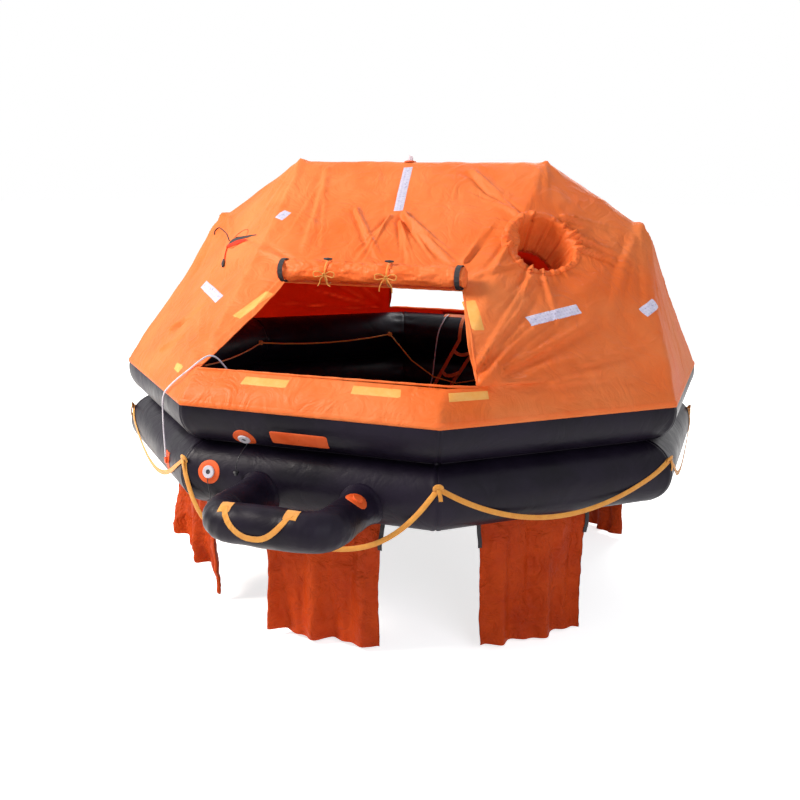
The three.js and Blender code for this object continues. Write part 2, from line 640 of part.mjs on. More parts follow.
// Rain collector: a funnel under the triangular opening with a drinking-water spout
const funnel = turned([
  [COLLECTOR_MOUTH_RADIUS, 60], [COLLECTOR_MOUTH_RADIUS, -12], [SPOUT_RADIUS, -COLLECTOR_DEPTH],
  [SPOUT_RADIUS, -COLLECTOR_DEPTH - SPOUT_LENGTH],
  [SPOUT_RADIUS - COLLECTOR_WALL, -COLLECTOR_DEPTH - SPOUT_LENGTH],
  [SPOUT_RADIUS - COLLECTOR_WALL, -COLLECTOR_DEPTH + 2], [COLLECTOR_MOUTH_RADIUS - COLLECTOR_WALL, -10],
  [COLLECTOR_MOUTH_RADIUS - COLLECTOR_WALL, 60], [COLLECTOR_MOUTH_RADIUS, 60],
], collectorFrame);
add('rain_collector', funnel.intersect(coverLining), BAG_CLOTH);

// Locator light
const ridgeZ = new THREE.Vector3().setFromMatrixPosition(onCanopy(LIGHT_X, 0)).z;
const lightBase = place(LIGHT_X, 0, ridgeZ + GAP);
add('light_base', turned([
  [0, 0], [LIGHT_BASE_RADIUS, 0], [LIGHT_BASE_RADIUS, LIGHT_BASE_HEIGHT / 2],
  [LIGHT_DOME_RADIUS + 4, LIGHT_BASE_HEIGHT], [0, LIGHT_BASE_HEIGHT],
], lightBase), ORANGE_PATCH);
const dome = [[0, 0], [LIGHT_DOME_RADIUS, 0]];
for (let i = 1; i <= 5; i++) {
  const angle = (Math.PI / 2) * (i / 5);
  const height = LIGHT_DOME_HEIGHT - LIGHT_DOME_RADIUS + LIGHT_DOME_RADIUS * Math.sin(angle);
  dome.push([i === 5 ? 0 : LIGHT_DOME_RADIUS * Math.cos(angle), height]);
}
add('light_dome', turned(dome, place(LIGHT_X, 0, ridgeZ + 2 * GAP + LIGHT_BASE_HEIGHT)), WHITE_PLASTIC);

// Boarding ramp with its handle and its valve under a cap
const rampZ = LOWER_Z - RAMP_DROP;
const rampFront = TUBE_APOTHEM + RAMP_REACH;
const rampLine = rounded([
  [RAMP_HALF_WIDTH, -TUBE_APOTHEM], [RAMP_HALF_WIDTH, -rampFront],
  [-RAMP_HALF_WIDTH, -rampFront], [-RAMP_HALF_WIDTH, -TUBE_APOTHEM],
].map(([x, y]) => v3(x + RAMP_SHIFT, y, rampZ)), RAMP_CORNER, 5);
const rampOf = (radius) => sweep(rampLine, circle(radius, 20), v3(0, 0, 1), { mitred: true });
const rampClear = rampOf(RAMP_RADIUS + GAP);
add('boarding_ramp', rampOf(RAMP_RADIUS).subtract(lowerClear), BLACK_RUBBER);

const rampPatchFrame = aimed(
  v3(RAMP_SHIFT + RAMP_HALF_WIDTH, -rampFront + RAMP_PATCH_INSET, rampZ),
  v3(Math.cos(radians(RAMP_PATCH_LEAN)), 0, Math.sin(radians(RAMP_PATCH_LEAN))), v3(0, 1, 0),
);
const rampSkin = rampOf(RAMP_RADIUS + GAP + PATCH_THICKNESS).subtract(rampClear);
add('ramp_valve_patch', rampSkin.intersect(rod(RAMP_PATCH_RADIUS, 0, 2 * RAMP_RADIUS, rampPatchFrame, 32)),
  ORANGE_PATCH);
const capSeat = RAMP_RADIUS + PATCH_THICKNESS + 2 * GAP;
add('ramp_valve_cap', turned([
  [0, capSeat], [CAP_RADIUS, capSeat], [CAP_RADIUS, capSeat + CAP_HEIGHT - 2],
  [CAP_RADIUS - 2, capSeat + CAP_HEIGHT], [0, capSeat + CAP_HEIGHT],
], rampPatchFrame), BLACK_PLASTIC);

const handleReach = RAMP_RADIUS + GAP + WEBBING_THICKNESS / 2 + 1;
const handlePoints = [];
const handleUps = [];
for (let i = 0; i <= 16; i++) {
  const t = (2 * i) / 16 - 1;
  const along = Math.cbrt(t) * 0.12 + t * 0.88;
  const rise = handleReach * Math.sin(radians(65)) - HANDLE_DROP * (1 - t * t);
  const out = rise > 0 ? Math.sqrt(handleReach ** 2 - rise ** 2) : handleReach;
  handlePoints.push(v3(RAMP_SHIFT - 25 + HANDLE_HALF_SPAN * along, -rampFront - out, rampZ + rise));
  handleUps.push(rise > 0 ? v3(0, -out, rise).normalize() : v3(0, -1, 0));
}
const tab = (x) => rampSkin.intersect(plate(60, 60, 60,
  aimed(v3(x, -rampFront, rampZ), v3(0, -Math.cos(radians(68)), Math.sin(radians(68))), v3(1, 0, 0))
    .multiply(place(0, 0, RAMP_RADIUS))));
add('ramp_handle', union([
  sweep(handlePoints, strip(WEBBING_WIDTH, WEBBING_THICKNESS), handleUps).subtract(rampClear),
  tab(handlePoints[0].x), tab(handlePoints[16].x),
]), YELLOW_WEBBING);

// Name patch
add('name_patch', upperSkin.intersect(plate(NAME_PATCH_LENGTH, NAME_PATCH_HEIGHT, TUBE_RADIUS / 2,
  onTube(EDGE.front, NAME_PATCH_ALONG, UPPER_Z, NAME_PATCH_LEAN))), ORANGE_PATCH);

// Outer lifeline: webbing through a patch at each corner of the lower tube, in a swag along each edge
const lineRadius = TUBE_RADIUS + GAP + WEBBING_THICKNESS / 2 + 1;
const OUTER_LINE_STEPS = 12;
const outerPoints = [];
const outerUps = [];
for (const angle of Object.values(EDGE).sort((a, b) => a - b)) {
  const front = angle === EDGE.front;
  const sag = front ? RAMP_LINE_SAG : OUTER_LINE_SAG;
  const top = lineRadius * Math.sin(radians(OUTER_LINE_LEAN));
  const topApothem = TUBE_APOTHEM + lineRadius * Math.cos(radians(OUTER_LINE_LEAN));
  for (let i = 0; i < OUTER_LINE_STEPS; i++) {
    const t = Math.sin((Math.PI * (i / OUTER_LINE_STEPS - 0.5)));
    const frontPower = t < 0 ? RAMP_LINE_LEFT_POWER : RAMP_LINE_RIGHT_POWER;
    const rise = top - sag * (1 - Math.abs(t) ** (front ? frontPower : 2));
    const reach = rise > 0 ? Math.sqrt(lineRadius ** 2 - rise ** 2) : lineRadius;
    const out = i === 0 ? outOf(angle - 22.5) : outOf(angle);
    const apothem = i === 0 ? topApothem * VERTEX_STRETCH : TUBE_APOTHEM + reach;
    const point = out.clone().multiplyScalar(apothem);
    if (i > 0) point.addScaledVector(alongOf(angle), t * topApothem * Math.tan(HALF_TURN));
    point.z = LOWER_Z + rise;
    outerPoints.push(point);
    outerUps.push(out.multiplyScalar(reach).setZ(Math.max(rise, 0)).normalize());
  }
}
const outerWebbing = sweep(outerPoints, strip(WEBBING_WIDTH, WEBBING_THICKNESS), outerUps, { closed: true });
const outerPatches = Object.values(EDGE).map((angle) => {
  const corner = aimed(
    outOf(angle + 22.5).multiplyScalar(TUBE_APOTHEM * VERTEX_STRETCH).setZ(LOWER_Z),
    outOf(angle + 22.5).multiplyScalar(Math.cos(radians(OUTER_LINE_LEAN)))
      .setZ(Math.sin(radians(OUTER_LINE_LEAN))), alongOf(angle + 22.5),
  );
  return lowerSkin.intersect(plate(LINE_PATCH_LENGTH, LINE_PATCH_HEIGHT, TUBE_RADIUS,
    corner.multiply(place(0, 0, TUBE_RADIUS))));
});
add('outer_lifeline', union([outerWebbing.subtract(lowerClear), ...outerPatches]).subtract(rampClear),
  YELLOW_WEBBING);

// Inner lifeline: cord through knobs on the inside wall of the upper tube
const knobReach = INNER_APOTHEM - GAP - INNER_KNOB_REACH / 2;
const innerPoints = [];
const knobs = [];
for (const angle of Object.values(EDGE).sort((a, b) => a - b)) {
  const knob = (edge) => outOf(edge).multiplyScalar(knobReach)
    .addScaledVector(alongOf(edge), -INNER_KNOB_ALONG).setZ(UPPER_Z + 20);
  const [from, to] = [knob(angle), knob(angle + 45)];
  const sag = angle === EDGE.rear ? REAR_INNER_LINE_SAG : INNER_LINE_SAG;
  for (let i = 0; i < 6; i++) {
    const point = from.clone().lerp(to, i / 6);
    point.z -= 4 * sag * (i / 6) * (1 - i / 6);
    innerPoints.push(point);
  }
  knobs.push(rod(INNER_KNOB_RADIUS, -INNER_KNOB_REACH / 2, INNER_KNOB_REACH / 2 + 8,
    aimed(from, outOf(angle), alongOf(angle)), 8));
}
add('inner_lifeline', union([
  sweep(innerPoints, circle(INNER_LINE_DIAMETER / 2, 6), v3(0, 0, 1), { closed: true }), ...knobs,
]).subtract(upperClear).subtract(lowerClear), YELLOW_WEBBING);

// Painter, its loop patch on the lower tube, and the knot at its inner end
const painterPatch = onTube(EDGE.frontLeft, PAINTER_PATCH_ALONG, LOWER_Z, PAINTER_PATCH_LEAN);
const outlineCutter = plate(PAINTER_PATCH_LENGTH, PAINTER_PATCH_HEIGHT, TUBE_RADIUS / 2, painterPatch);
const eye = rod(EYE_RADIUS, 0, EYE_HEIGHT, painterPatch.clone().multiply(place(0, EYE_RISE, GAP + 1)), 16);
const painterPatchSolid = union([lowerSkin.intersect(outlineCutter), eye.subtract(lowerClear)]);
add('painter_patch', painterPatchSolid.subtract(outerWebbing), ORANGE_PATCH);

function addLine(name, route) {
  add(name, cordOf(route, CORD_DIAMETER, 2 * route.length), WHITE_CORD);
  const { x, y, z } = route[route.length - 1];
  const knot = new THREE.SphereGeometry(KNOT_RADIUS, 10, 6);
  add(`${name}_knot`, solidOf(knot, place(x, y, z - KNOT_RADIUS - GAP)), WHITE_CORD);
}
const painterStart = v3(0, EYE_RISE + EYE_RADIUS + GAP, GAP + 1 + EYE_HEIGHT / 2);
addLine('painter', [painterStart.applyMatrix4(painterPatch), ...[
  [-876, -1353, 250], [-882, -1350, 330], [-882, -1351, 410], [-876, -1358, 480],
  [-850, -1382, 526], [-811, -1405, 562], [-738, -1432, 617], [-680, -1418, 665], [-620, -1405, 714],
  [-594, -1378, 731], [-572, -1350, 722], [-552, -1318, 684], [-535, -1284, 636], [-512, -1250, 590],
  [-494, -1232, 520], [-487, -1229, 440], [-486, -1229, 362],
].map((point) => v3(...point))]);
const onBand = TUBE_RADIUS + PATCH_THICKNESS + 2 * GAP + CORD_DIAMETER / 2;
addLine('rear_line', [
  ringPoint(EDGE.rear, 214, UPPER_Z, 104, onBand), ringPoint(EDGE.rear, 218, UPPER_Z, 112, onBand),
  ...[
    [-224, 1316, 632], [-232, 1290, 606], [-244, 1262, 568], [-254, 1240, 520], [-264, 1232, 440],
    [-274, 1230, 340], [-284, 1230, 230], [-300, 1226, 140],
  ].map((point) => v3(...point)),
]);

// Webbing ladder down the inside of the rear tubes
const ladderBand = upperSkin.intersect(plate(LADDER_BAND_LENGTH, LADDER_BAND_HEIGHT, TUBE_RADIUS,
  onTube(EDGE.rear, 85, UPPER_Z, LADDER_BAND_LEAN)));
const webbing = strip(WEBBING_WIDTH, WEBBING_THICKNESS);
const ladderY = INNER_APOTHEM - GAP - WEBBING_THICKNESS;
const legPoint = (leg, z) => v3(THREE.MathUtils.mapLinear(z, UPPER_Z, FLOOR_THICKNESS,
  LADDER_TOP_X[leg], LADDER_FOOT_X[leg]), ladderY, z);
const legs = [0, 1].map((leg) => {
  const points = [];
  const ups = [];
  for (let lean = 100; lean <= 180; lean += 10) {
    const point = ringPoint(EDGE.rear, -LADDER_TOP_X[leg], UPPER_Z, lean, TUBE_RADIUS + GAP + 3);
    points.push(point);
    ups.push(v3(0, Math.cos(radians(lean)), Math.sin(radians(lean))));
  }
  for (const z of [LOWER_Z, FLOOR_THICKNESS + GAP]) {
    points.push(legPoint(leg, z));
    ups.push(v3(0, -1, 0));
  }
  return sweep(points, webbing, ups);
});
const rungs = Array.from({ length: LADDER_RUNGS }, (_, i) => {
  const z = UPPER_Z - ((i + 0.5) * (UPPER_Z - LOWER_Z)) / (LADDER_RUNGS - 1);
  const [from, to] = [legPoint(0, z), legPoint(1, z)];
  const points = Array.from({ length: 7 }, (_, k) => {
    const point = from.clone().lerp(to, k / 6);
    point.y -= 60 * Math.sin((Math.PI * k) / 6);
    point.z -= 20 * Math.sin((Math.PI * k) / 6);
    return point;
  });
  return sweep(points, webbing, v3(0, -1, 0));
});
const floorClear = block([-FAR, -FAR, -FAR], [FAR, FAR, FLOOR_THICKNESS + GAP]);
add('boarding_ladder', union([ladderBand, ...legs, ...rungs])
  .subtract(upperClear).subtract(lowerClear).subtract(floorClear), ORANGE_WEBBING);

// Water ballast bags
const bagSection = Array.from({ length: 25 }, (_, i) => {
  const x = (i / 24 - 0.5) * BAG_WIDTH;
  return [x, BAG_WAVE * Math.sin((i / 24) * 5 * Math.PI)];
});
function addBag(edge, angle) {
  const half = BAG_THICKNESS / 2;
  const outline = [
    ...bagSection.map(([x, y]) => new THREE.Vector2(x, y - half)),
    ...bagSection.map(([x, y]) => new THREE.Vector2(x, y + half)).reverse(),
  ];
  const cloth = new THREE.ExtrudeGeometry(new THREE.Shape(outline), {
    depth: BAG_DROP + FLOOR_RIM_HEIGHT, bevelEnabled: false,
  });
  const out = outOf(angle).multiplyScalar(FLOOR_APOTHEM + BAG_OUTSET).setZ(-BAG_DROP);
  const frame = aimed(out, v3(0, 0, 1), alongOf(angle));
  add(`ballast_bag_${edge}`, solidOf(cloth, frame).subtract(tubeRing(LOWER_Z, TUBE_RADIUS + GAP)),
    BAG_CLOTH);
}
addBag('front', EDGE.front);
addBag('front_right', EDGE.frontRight);
addBag('front_left', EDGE.frontLeft);
addBag('rear', EDGE.rear);
addBag('rear_right', EDGE.rearRight);
addBag('rear_left', EDGE.rearLeft);

// Inflation cylinder, its operating head, cradle and filling hose
const cylinderZ = LOWER_Z - TUBE_RADIUS - CRADLE_WALL - 2 * GAP - CYLINDER_RADIUS;
const cylinderLow = CYLINDER_Y - CYLINDER_LENGTH / 2;
const cylinderAxis = aimed(v3(-TUBE_APOTHEM, CYLINDER_Y, cylinderZ), v3(0, 1, 0), v3(1, 0, 0));
const body = [[0, -CYLINDER_LENGTH / 2]];
for (let i = 1; i <= 3; i++) {
  const angle = (Math.PI / 2) * (i / 3);
  body.push([CYLINDER_RADIUS * Math.sin(angle),
    -CYLINDER_LENGTH / 2 + CYLINDER_BASE_RISE * (1 - Math.cos(angle))]);
}
for (let i = 0; i <= 4; i++) {
  const angle = (Math.PI / 2) * (i / 4);
  const radius = CYLINDER_NECK_RADIUS + (CYLINDER_RADIUS - CYLINDER_NECK_RADIUS) * Math.cos(angle);
  body.push([radius, CYLINDER_LENGTH / 2 - CYLINDER_SHOULDER * (1 - 0.8 * Math.sin(angle))]);
}
body.push([CYLINDER_NECK_RADIUS, CYLINDER_LENGTH / 2], [0, CYLINDER_LENGTH / 2]);
add('gas_cylinder', turned(body, cylinderAxis), GREY_STEEL);
const headLow = CYLINDER_LENGTH / 2 + GAP;
add('operating_head', turned([
  [0, headLow], [HEAD_RADIUS * 0.8, headLow], [HEAD_RADIUS, headLow + 12],
  [HEAD_RADIUS, headLow + HEAD_LENGTH - 10], [HEAD_RADIUS * 0.6, headLow + HEAD_LENGTH],
  [0, headLow + HEAD_LENGTH],
], cylinderAxis), BRASS);
const cradleInner = CYLINDER_RADIUS + GAP;
const cradle = turned([
  [cradleInner, -CRADLE_LENGTH / 2], [cradleInner + CRADLE_WALL, -CRADLE_LENGTH / 2],
  [cradleInner + CRADLE_WALL, CRADLE_LENGTH / 2], [cradleInner, CRADLE_LENGTH / 2],
  [cradleInner, -CRADLE_LENGTH / 2],
], cylinderAxis);
const wing = block(
  [-TUBE_APOTHEM - CRADLE_HALF_WIDTH, CYLINDER_Y - CRADLE_LENGTH / 2, cylinderZ + CYLINDER_RADIUS * 0.8],
  [-TUBE_APOTHEM + CRADLE_HALF_WIDTH, CYLINDER_Y + CRADLE_LENGTH / 2, LOWER_Z - TUBE_RADIUS * 0.8],
).subtract(rod(cradleInner, -CRADLE_LENGTH, CRADLE_LENGTH, cylinderAxis)).subtract(lowerClear);
add('cylinder_cradle', cradle.subtract(lowerClear).add(wing), BLACK_RUBBER);

const headY = cylinderLow + CYLINDER_LENGTH + HEAD_LENGTH / 2;
const hoseStart = v3(-TUBE_APOTHEM - HEAD_RADIUS - GAP, headY, cylinderZ);
const hoseEnd = ringPoint(EDGE.left, -headY, LOWER_Z, -45, TUBE_RADIUS);
add('filling_hose', cordOf([
  hoseStart, hoseStart.clone().add(v3(-HOSE_BULGE / 2, 0, 0)),
  v3(hoseEnd.x, headY, (hoseStart.z + hoseEnd.z) / 2 - HOSE_BULGE / 2),
  hoseEnd.clone().add(v3(-HOSE_BULGE / 2, 0, -HOSE_BULGE / 2)), hoseEnd,
], 2 * HOSE_RADIUS, 14).subtract(lowerClear), BLACK_RUBBER);

export default raft;
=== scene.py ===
import bpy
import bmesh
import math
import numpy as np
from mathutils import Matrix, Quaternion, Vector, noise
from mathutils.bvhtree import BVHTree


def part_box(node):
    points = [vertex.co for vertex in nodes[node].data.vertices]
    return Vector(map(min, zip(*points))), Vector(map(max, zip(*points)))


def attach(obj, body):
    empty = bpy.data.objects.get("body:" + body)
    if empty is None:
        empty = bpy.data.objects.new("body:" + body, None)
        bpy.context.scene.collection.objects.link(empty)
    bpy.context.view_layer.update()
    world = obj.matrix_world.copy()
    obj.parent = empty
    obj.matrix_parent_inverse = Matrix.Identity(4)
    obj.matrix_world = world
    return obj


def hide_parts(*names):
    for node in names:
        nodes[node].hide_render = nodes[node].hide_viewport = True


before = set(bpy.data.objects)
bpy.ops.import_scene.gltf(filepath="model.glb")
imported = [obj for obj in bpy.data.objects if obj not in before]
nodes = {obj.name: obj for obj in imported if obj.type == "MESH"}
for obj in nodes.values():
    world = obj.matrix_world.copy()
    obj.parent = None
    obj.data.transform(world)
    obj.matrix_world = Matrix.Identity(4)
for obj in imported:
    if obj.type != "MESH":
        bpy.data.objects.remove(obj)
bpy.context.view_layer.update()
scene = bpy.context.scene

# Sizes shared with the part, in metres
APOTHEM = 1.408
TUBE = 0.158
LOWER_Z = 0.1703
UPPER_Z = 0.4866
SKIRT_Z = 0.528
ARCH = 0.1
RAMP = 0.09
RAMP_Z = 0.1283
WEBBING = 0.025
CORD = 0.009
TETHER = 0.004
EDGES = (270, 315, 0, 45, 90, 135, 180, 225)


def array(*values):
    return np.array(values, float)


def unit(v):
    return v / np.maximum(np.linalg.norm(v, axis=-1, keepdims=True), 1e-12)


def smooth(x, low, high):
    t = np.clip((np.asarray(x, float) - low) / (high - low), 0, 1)
    return t * t * (3 - 2 * t)


def bell(x, width):
    return np.exp(-((np.asarray(x, float) / width) ** 2))


# Camera and cords come first


def make_camera():
    data = bpy.data.cameras.new("camera")
    data.sensor_width = 36
    data.lens = 44.82
    camera = bpy.data.objects.new("camera", data)
    scene.collection.objects.link(camera)
    camera.location = (1.889, -5.563, 1.536)
    camera.rotation_mode = "QUATERNION"
    look = Vector((-0.3288, 0.9215, -0.2069)).to_track_quat("-Z", "Y")
    camera.rotation_quaternion = look @ Quaternion((0, 0, 1), math.radians(0.864))
    scene.camera = camera


def catmull(points, steps):
    """A centripetal curve through the points, as a dense list of points."""
    p = np.array(points, float)
    p = np.vstack([2 * p[0] - p[1], p, 2 * p[-1] - p[-2]])
    found = []
    for a, b, c, d in zip(p, p[1:], p[2:], p[3:]):
        knots = [0.0]
        for q, r in ((a, b), (b, c), (c, d)):
            knots.append(knots[-1] + max(np.linalg.norm(r - q), 1e-9) ** 0.5)
        t0, t1, t2, t3 = knots
        for t in np.linspace(t1, t2, steps, endpoint=False):
            ab = a + (b - a) * (t - t0) / (t1 - t0)
            bc = b + (c - b) * (t - t1) / (t2 - t1)
            cd = c + (d - c) * (t - t2) / (t3 - t2)
            abc = ab + (bc - ab) * (t - t0) / (t2 - t0)
            bcd = bc + (cd - bc) * (t - t1) / (t3 - t1)
            found.append(abc + (bcd - abc) * (t - t1) / (t2 - t1))
    return np.array(found + [p[-2]])


PAINTER = [
    (-0.8732, -1.3540, 0.1870), (-0.876, -1.353, 0.250), (-0.882, -1.350, 0.330),
    (-0.882, -1.351, 0.410), (-0.876, -1.358, 0.480), (-0.850, -1.382, 0.526),
    (-0.811, -1.405, 0.562), (-0.738, -1.432, 0.617), (-0.680, -1.418, 0.665),
    (-0.620, -1.405, 0.714), (-0.594, -1.378, 0.731), (-0.572, -1.350, 0.722),
    (-0.552, -1.318, 0.684), (-0.535, -1.284, 0.636), (-0.512, -1.250, 0.590),
    (-0.494, -1.232, 0.520), (-0.487, -1.229, 0.440), (-0.486, -1.229, 0.362),
]
REAR_LINE = [
    (-0.2140, 1.3679, 0.6473), (-0.2180, 1.3460, 0.6401), (-0.224, 1.316, 0.632),
    (-0.232, 1.290, 0.606), (-0.244, 1.262, 0.568), (-0.254, 1.240, 0.520),
    (-0.264, 1.232, 0.440), (-0.274, 1.230, 0.340), (-0.284, 1.230, 0.230),
    (-0.300, 1.226, 0.140),
]
UPPER_TETHER = [
    (-0.3280, -1.5047, 0.3497), (-0.3280, -1.4991, 0.3440), (-0.3327, -1.5406, 0.3160),
    (-0.3373, -1.5709, 0.2880), (-0.3420, -1.5820, 0.2600), (-0.3420, -1.5820, 0.2432),
    (-0.3420, -1.5820, 0.2320),
]
LOWER_TETHER = [
    (-0.5000, -1.5754, 0.1768), (-0.5000, -1.5772, 0.1690), (-0.4947, -1.5796, 0.1450),
    (-0.4893, -1.5814, 0.1210), (-0.4840, -1.5820, 0.0970), (-0.4840, -1.5820, 0.0826),
    (-0.4840, -1.5820, 0.0730),
]


def cord_curve(name, route, diameter):
    line = catmull(route, 4)
    data = bpy.data.curves.new(name, "CURVE")
    data.dimensions = "3D"
    data.bevel_depth = diameter / 2
    data.bevel_resolution = 3
    data.use_fill_caps = True
    spline = data.splines.new("POLY")
    spline.points.add(len(line) - 1)
    for point, co in zip(spline.points, line):
        point.co = (*co, 1)
    obj = bpy.data.objects.new(name, data)
    scene.collection.objects.link(obj)
    length = float(np.linalg.norm(np.diff(line, axis=0), axis=1).sum())
    return obj, length


make_camera()
cords = {
    name: cord_curve(name + "_line", route, diameter)
    for name, route, diameter in (
        ("painter", PAINTER, CORD),
        ("rear_line", REAR_LINE, CORD),
        ("upper_plug_tether", UPPER_TETHER, TETHER),
        ("lower_plug_tether", LOWER_TETHER, TETHER),
    )
}


# Materials


def linear(colour):
    """An sRGB hex colour as linear red, green, blue and alpha."""
    values = [int(colour[i : i + 2], 16) / 255 for i in (0, 2, 4)]
    return [v / 12.92 if v <= 0.04045 else ((v + 0.055) / 1.055) ** 2.4 for v in values] + [1.0]


def node(tree, kind, inputs=None, **settings):
    """Adds one shader node. An input is given by name or number, as a value or as a socket to link."""
    made = tree.nodes.new("ShaderNode" + kind)
    for key, value in settings.items():
        setattr(made, key, value)
    for key, value in (inputs or {}).items():
        if isinstance(value, bpy.types.NodeSocket):
            tree.links.new(value, made.inputs[key])
        else:
            made.inputs[key].default_value = value
    return made


def mixed(tree, share, first, second):
    blend = node(tree, "Mix", data_type="RGBA")
    for socket, value in ((0, share), (6, first), (7, second)):
        if isinstance(value, bpy.types.NodeSocket):
            tree.links.new(value, blend.inputs[socket])
        else:
            blend.inputs[socket].default_value = value
    return blend.outputs[2]


def ranged(tree, value, low, high, start=0.0, end=1.0):
    return node(tree, "MapRange", {
        "Value": value, "From Min": start, "From Max": end, "To Min": low, "To Max": high,
    }).outputs[0]


def finish(name, colour, second, patches, rough, grain, bump, threads=0, crumple=0, crumple_scale=8,
           through=0.0, uv=False, **shader):
    """A finish of two colours in soft patches, with grain, woven threads and crumples in its bump, and
    painted shade in the hollows between the threads.

    patches and grain are per metre; bump and crumple are heights in metres; through is how much light
    passes through the cloth; shader holds the shader's own constant sockets."""
    material = bpy.data.materials.new(name)
    material.use_nodes = True
    tree = material.node_tree
    tree.nodes.clear()
    where = node(tree, "TexCoord").outputs["UV" if uv else "Object"]
    soft = node(tree, "TexNoise", {"Vector": where, "Scale": patches, "Detail": 5, "Roughness": 0.6})
    share = ranged(tree, soft.outputs[0], 0, 1, 0.35, 0.68)
    tint = mixed(tree, share, linear(colour), linear(second))
    fine = node(tree, "TexNoise", {"Vector": where, "Scale": grain, "Detail": 3, "Roughness": 0.7})
    height = ranged(tree, fine.outputs[0], 0, bump)
    if threads:
        weave = []
        for direction in ("X", "Y") if uv else ("DIAGONAL", "Z"):
            thread = node(tree, "TexWave", {"Vector": where, "Scale": threads / 6.28, "Distortion": 0.4},
                          bands_direction=direction)
            weave.append(thread.outputs[1])
        woven = node(tree, "Math", {0: weave[0], 1: weave[1]}, operation="MAXIMUM").outputs[0]
        height = node(tree, "Math", {0: woven, 1: bump * 1.5, 2: height},
                      operation="MULTIPLY_ADD").outputs[0]
        # The hollows between the threads are painted darker: painted shade in the weave. On the reflective
        # tape these dark marks also draw its cell pattern.
        tint = mixed(tree, ranged(tree, woven, 0.16, 0.0), tint, linear("1a0f0a"))
    if crumple:
        rumple = node(tree, "TexNoise", {"Vector": where, "Scale": crumple_scale, "Detail": 4,
                                         "Roughness": 0.5, "Distortion": 1.2})
        ridge = node(tree, "Math", {0: rumple.outputs[0], 1: 0.5}, operation="SUBTRACT").outputs[0]
        ridge = node(tree, "Math", {0: ridge}, operation="ABSOLUTE").outputs[0]
        height = node(tree, "Math", {0: ridge, 1: crumple * 4, 2: height},
                      operation="MULTIPLY_ADD").outputs[0]
    relief = node(tree, "Bump", {"Strength": 1.0, "Distance": 1.0, "Height": height})
    sheen = ranged(tree, soft.outputs[0], rough[0], rough[1], 0.3, 0.7)
    body = node(tree, "BsdfPrincipled", {"Base Color": tint, "Roughness": sheen,
                                        "Normal": relief.outputs[0], **shader})
    out = body.outputs[0]
    if through:
        behind = node(tree, "BsdfTranslucent", {"Color": tint, "Normal": relief.outputs[0]})
        out = node(tree, "MixShader", {0: through, 1: out, 2: behind.outputs[0]}).outputs[0]
    node(tree, "OutputMaterial", {"Surface": out})
    return material


# Coated canopy cloth: soft lights on the folds, a little light shines through from the far side
CANOPY = finish("canopy_coated_cloth", "ff7a32", "ff9150", 2.2, (0.40, 0.55), 900, 0.00012, threads=900,
                crumple=0.0050, crumple_scale=6, through=0.22, **{"Specular IOR Level": 0.22})
# Uncoated side of the same cloth: deeper red, duller, glows where the light comes through
LINING = finish("canopy_lining_cloth", "ee4218", "f8552a", 2.6, (0.6, 0.75), 900, 0.00012, threads=900,
                crumple=0.0014, crumple_scale=7, through=0.5)
# Sleeve cloth at the look-out port: the lining's red-orange made brighter, painted light for where the
# light falls into it
SLEEVE = finish("sleeve_painted_light_cloth", "fb3a12", "ff5226", 3.0, (0.5, 0.65), 900, 0.00012, threads=900,
                crumple=0.0020, crumple_scale=9, through=0.2, **{"Specular IOR Level": 0.15})
# Thin bag cloth: rumpled, half shiny, lets light through
BAG = finish("bag_thin_cloth", "bb3a08", "d04c12", 4.0, (0.42, 0.58), 900, 0.00012, threads=1000,
             crumple=0.0070, crumple_scale=11, through=0.18, **{"Specular IOR Level": 0.15})
# Synthetic rubber on tubes: near black with a violet cast, satin, dusty patches that dull it
RUBBER = finish("tube_satin_rubber", "0e0a14", "1b1523", 3.5, (0.30, 0.50), 500, 0.00010, threads=0,
                crumple=0.0022, crumple_scale=4, **{"Specular IOR Level": 0.14})
# Seam tape on the tubes: the same rubber, smoother and a shade lighter, so its edge catches light
TAPE = finish("tube_seam_tape", "17111e", "241d2c", 9, (0.28, 0.4), 700, 0.00006,
              **{"Specular IOR Level": 0.2})
# Floor cloth: dull black with the grit that a floor holds
FLOOR = finish("floor_dull_rubber", "141218", "201e24", 5, (0.55, 0.75), 420, 0.00025,
               **{"Specular IOR Level": 0.2})
# Rubberised patches: matt orange, slightly soiled
PATCH = finish("patch_matt_rubber", "d8521c", "e4642e", 14, (0.5, 0.66), 900, 0.00012,
               **{"Specular IOR Level": 0.25})
# Pale yellow cloth patches at the entrance
YELLOW_PATCH = finish("patch_pale_yellow_cloth", "f0a546", "f5b966", 16, (0.55, 0.7), 900, 0.0002,
                      threads=700, uv=True)
# Woven webbing: ribs across its face that scatter the light
YELLOW = finish("webbing_yellow_weave", "dd8f27", "eba63f", 22, (0.6, 0.78), 1200, 0.0003, threads=1100,
                **{"Sheen Weight": 0.3})
ORANGE = finish("webbing_orange_weave", "de6420", "ea7a34", 20, (0.6, 0.78), 1200, 0.0003, threads=1100,
                **{"Sheen Weight": 0.3})
BLACK_WEB = finish("webbing_black_weave", "17151a", "26242a", 20, (0.6, 0.8), 1200, 0.0003, threads=1100)
# Reflective tape: silver with a violet cast under a fine cell pattern
REFLECT = finish("tape_retro_reflective", "c6c2dd", "dcd9ea", 40, (0.25, 0.36), 900, 0.00004, threads=110,
                 uv=True, **{"Metallic": 0.35})
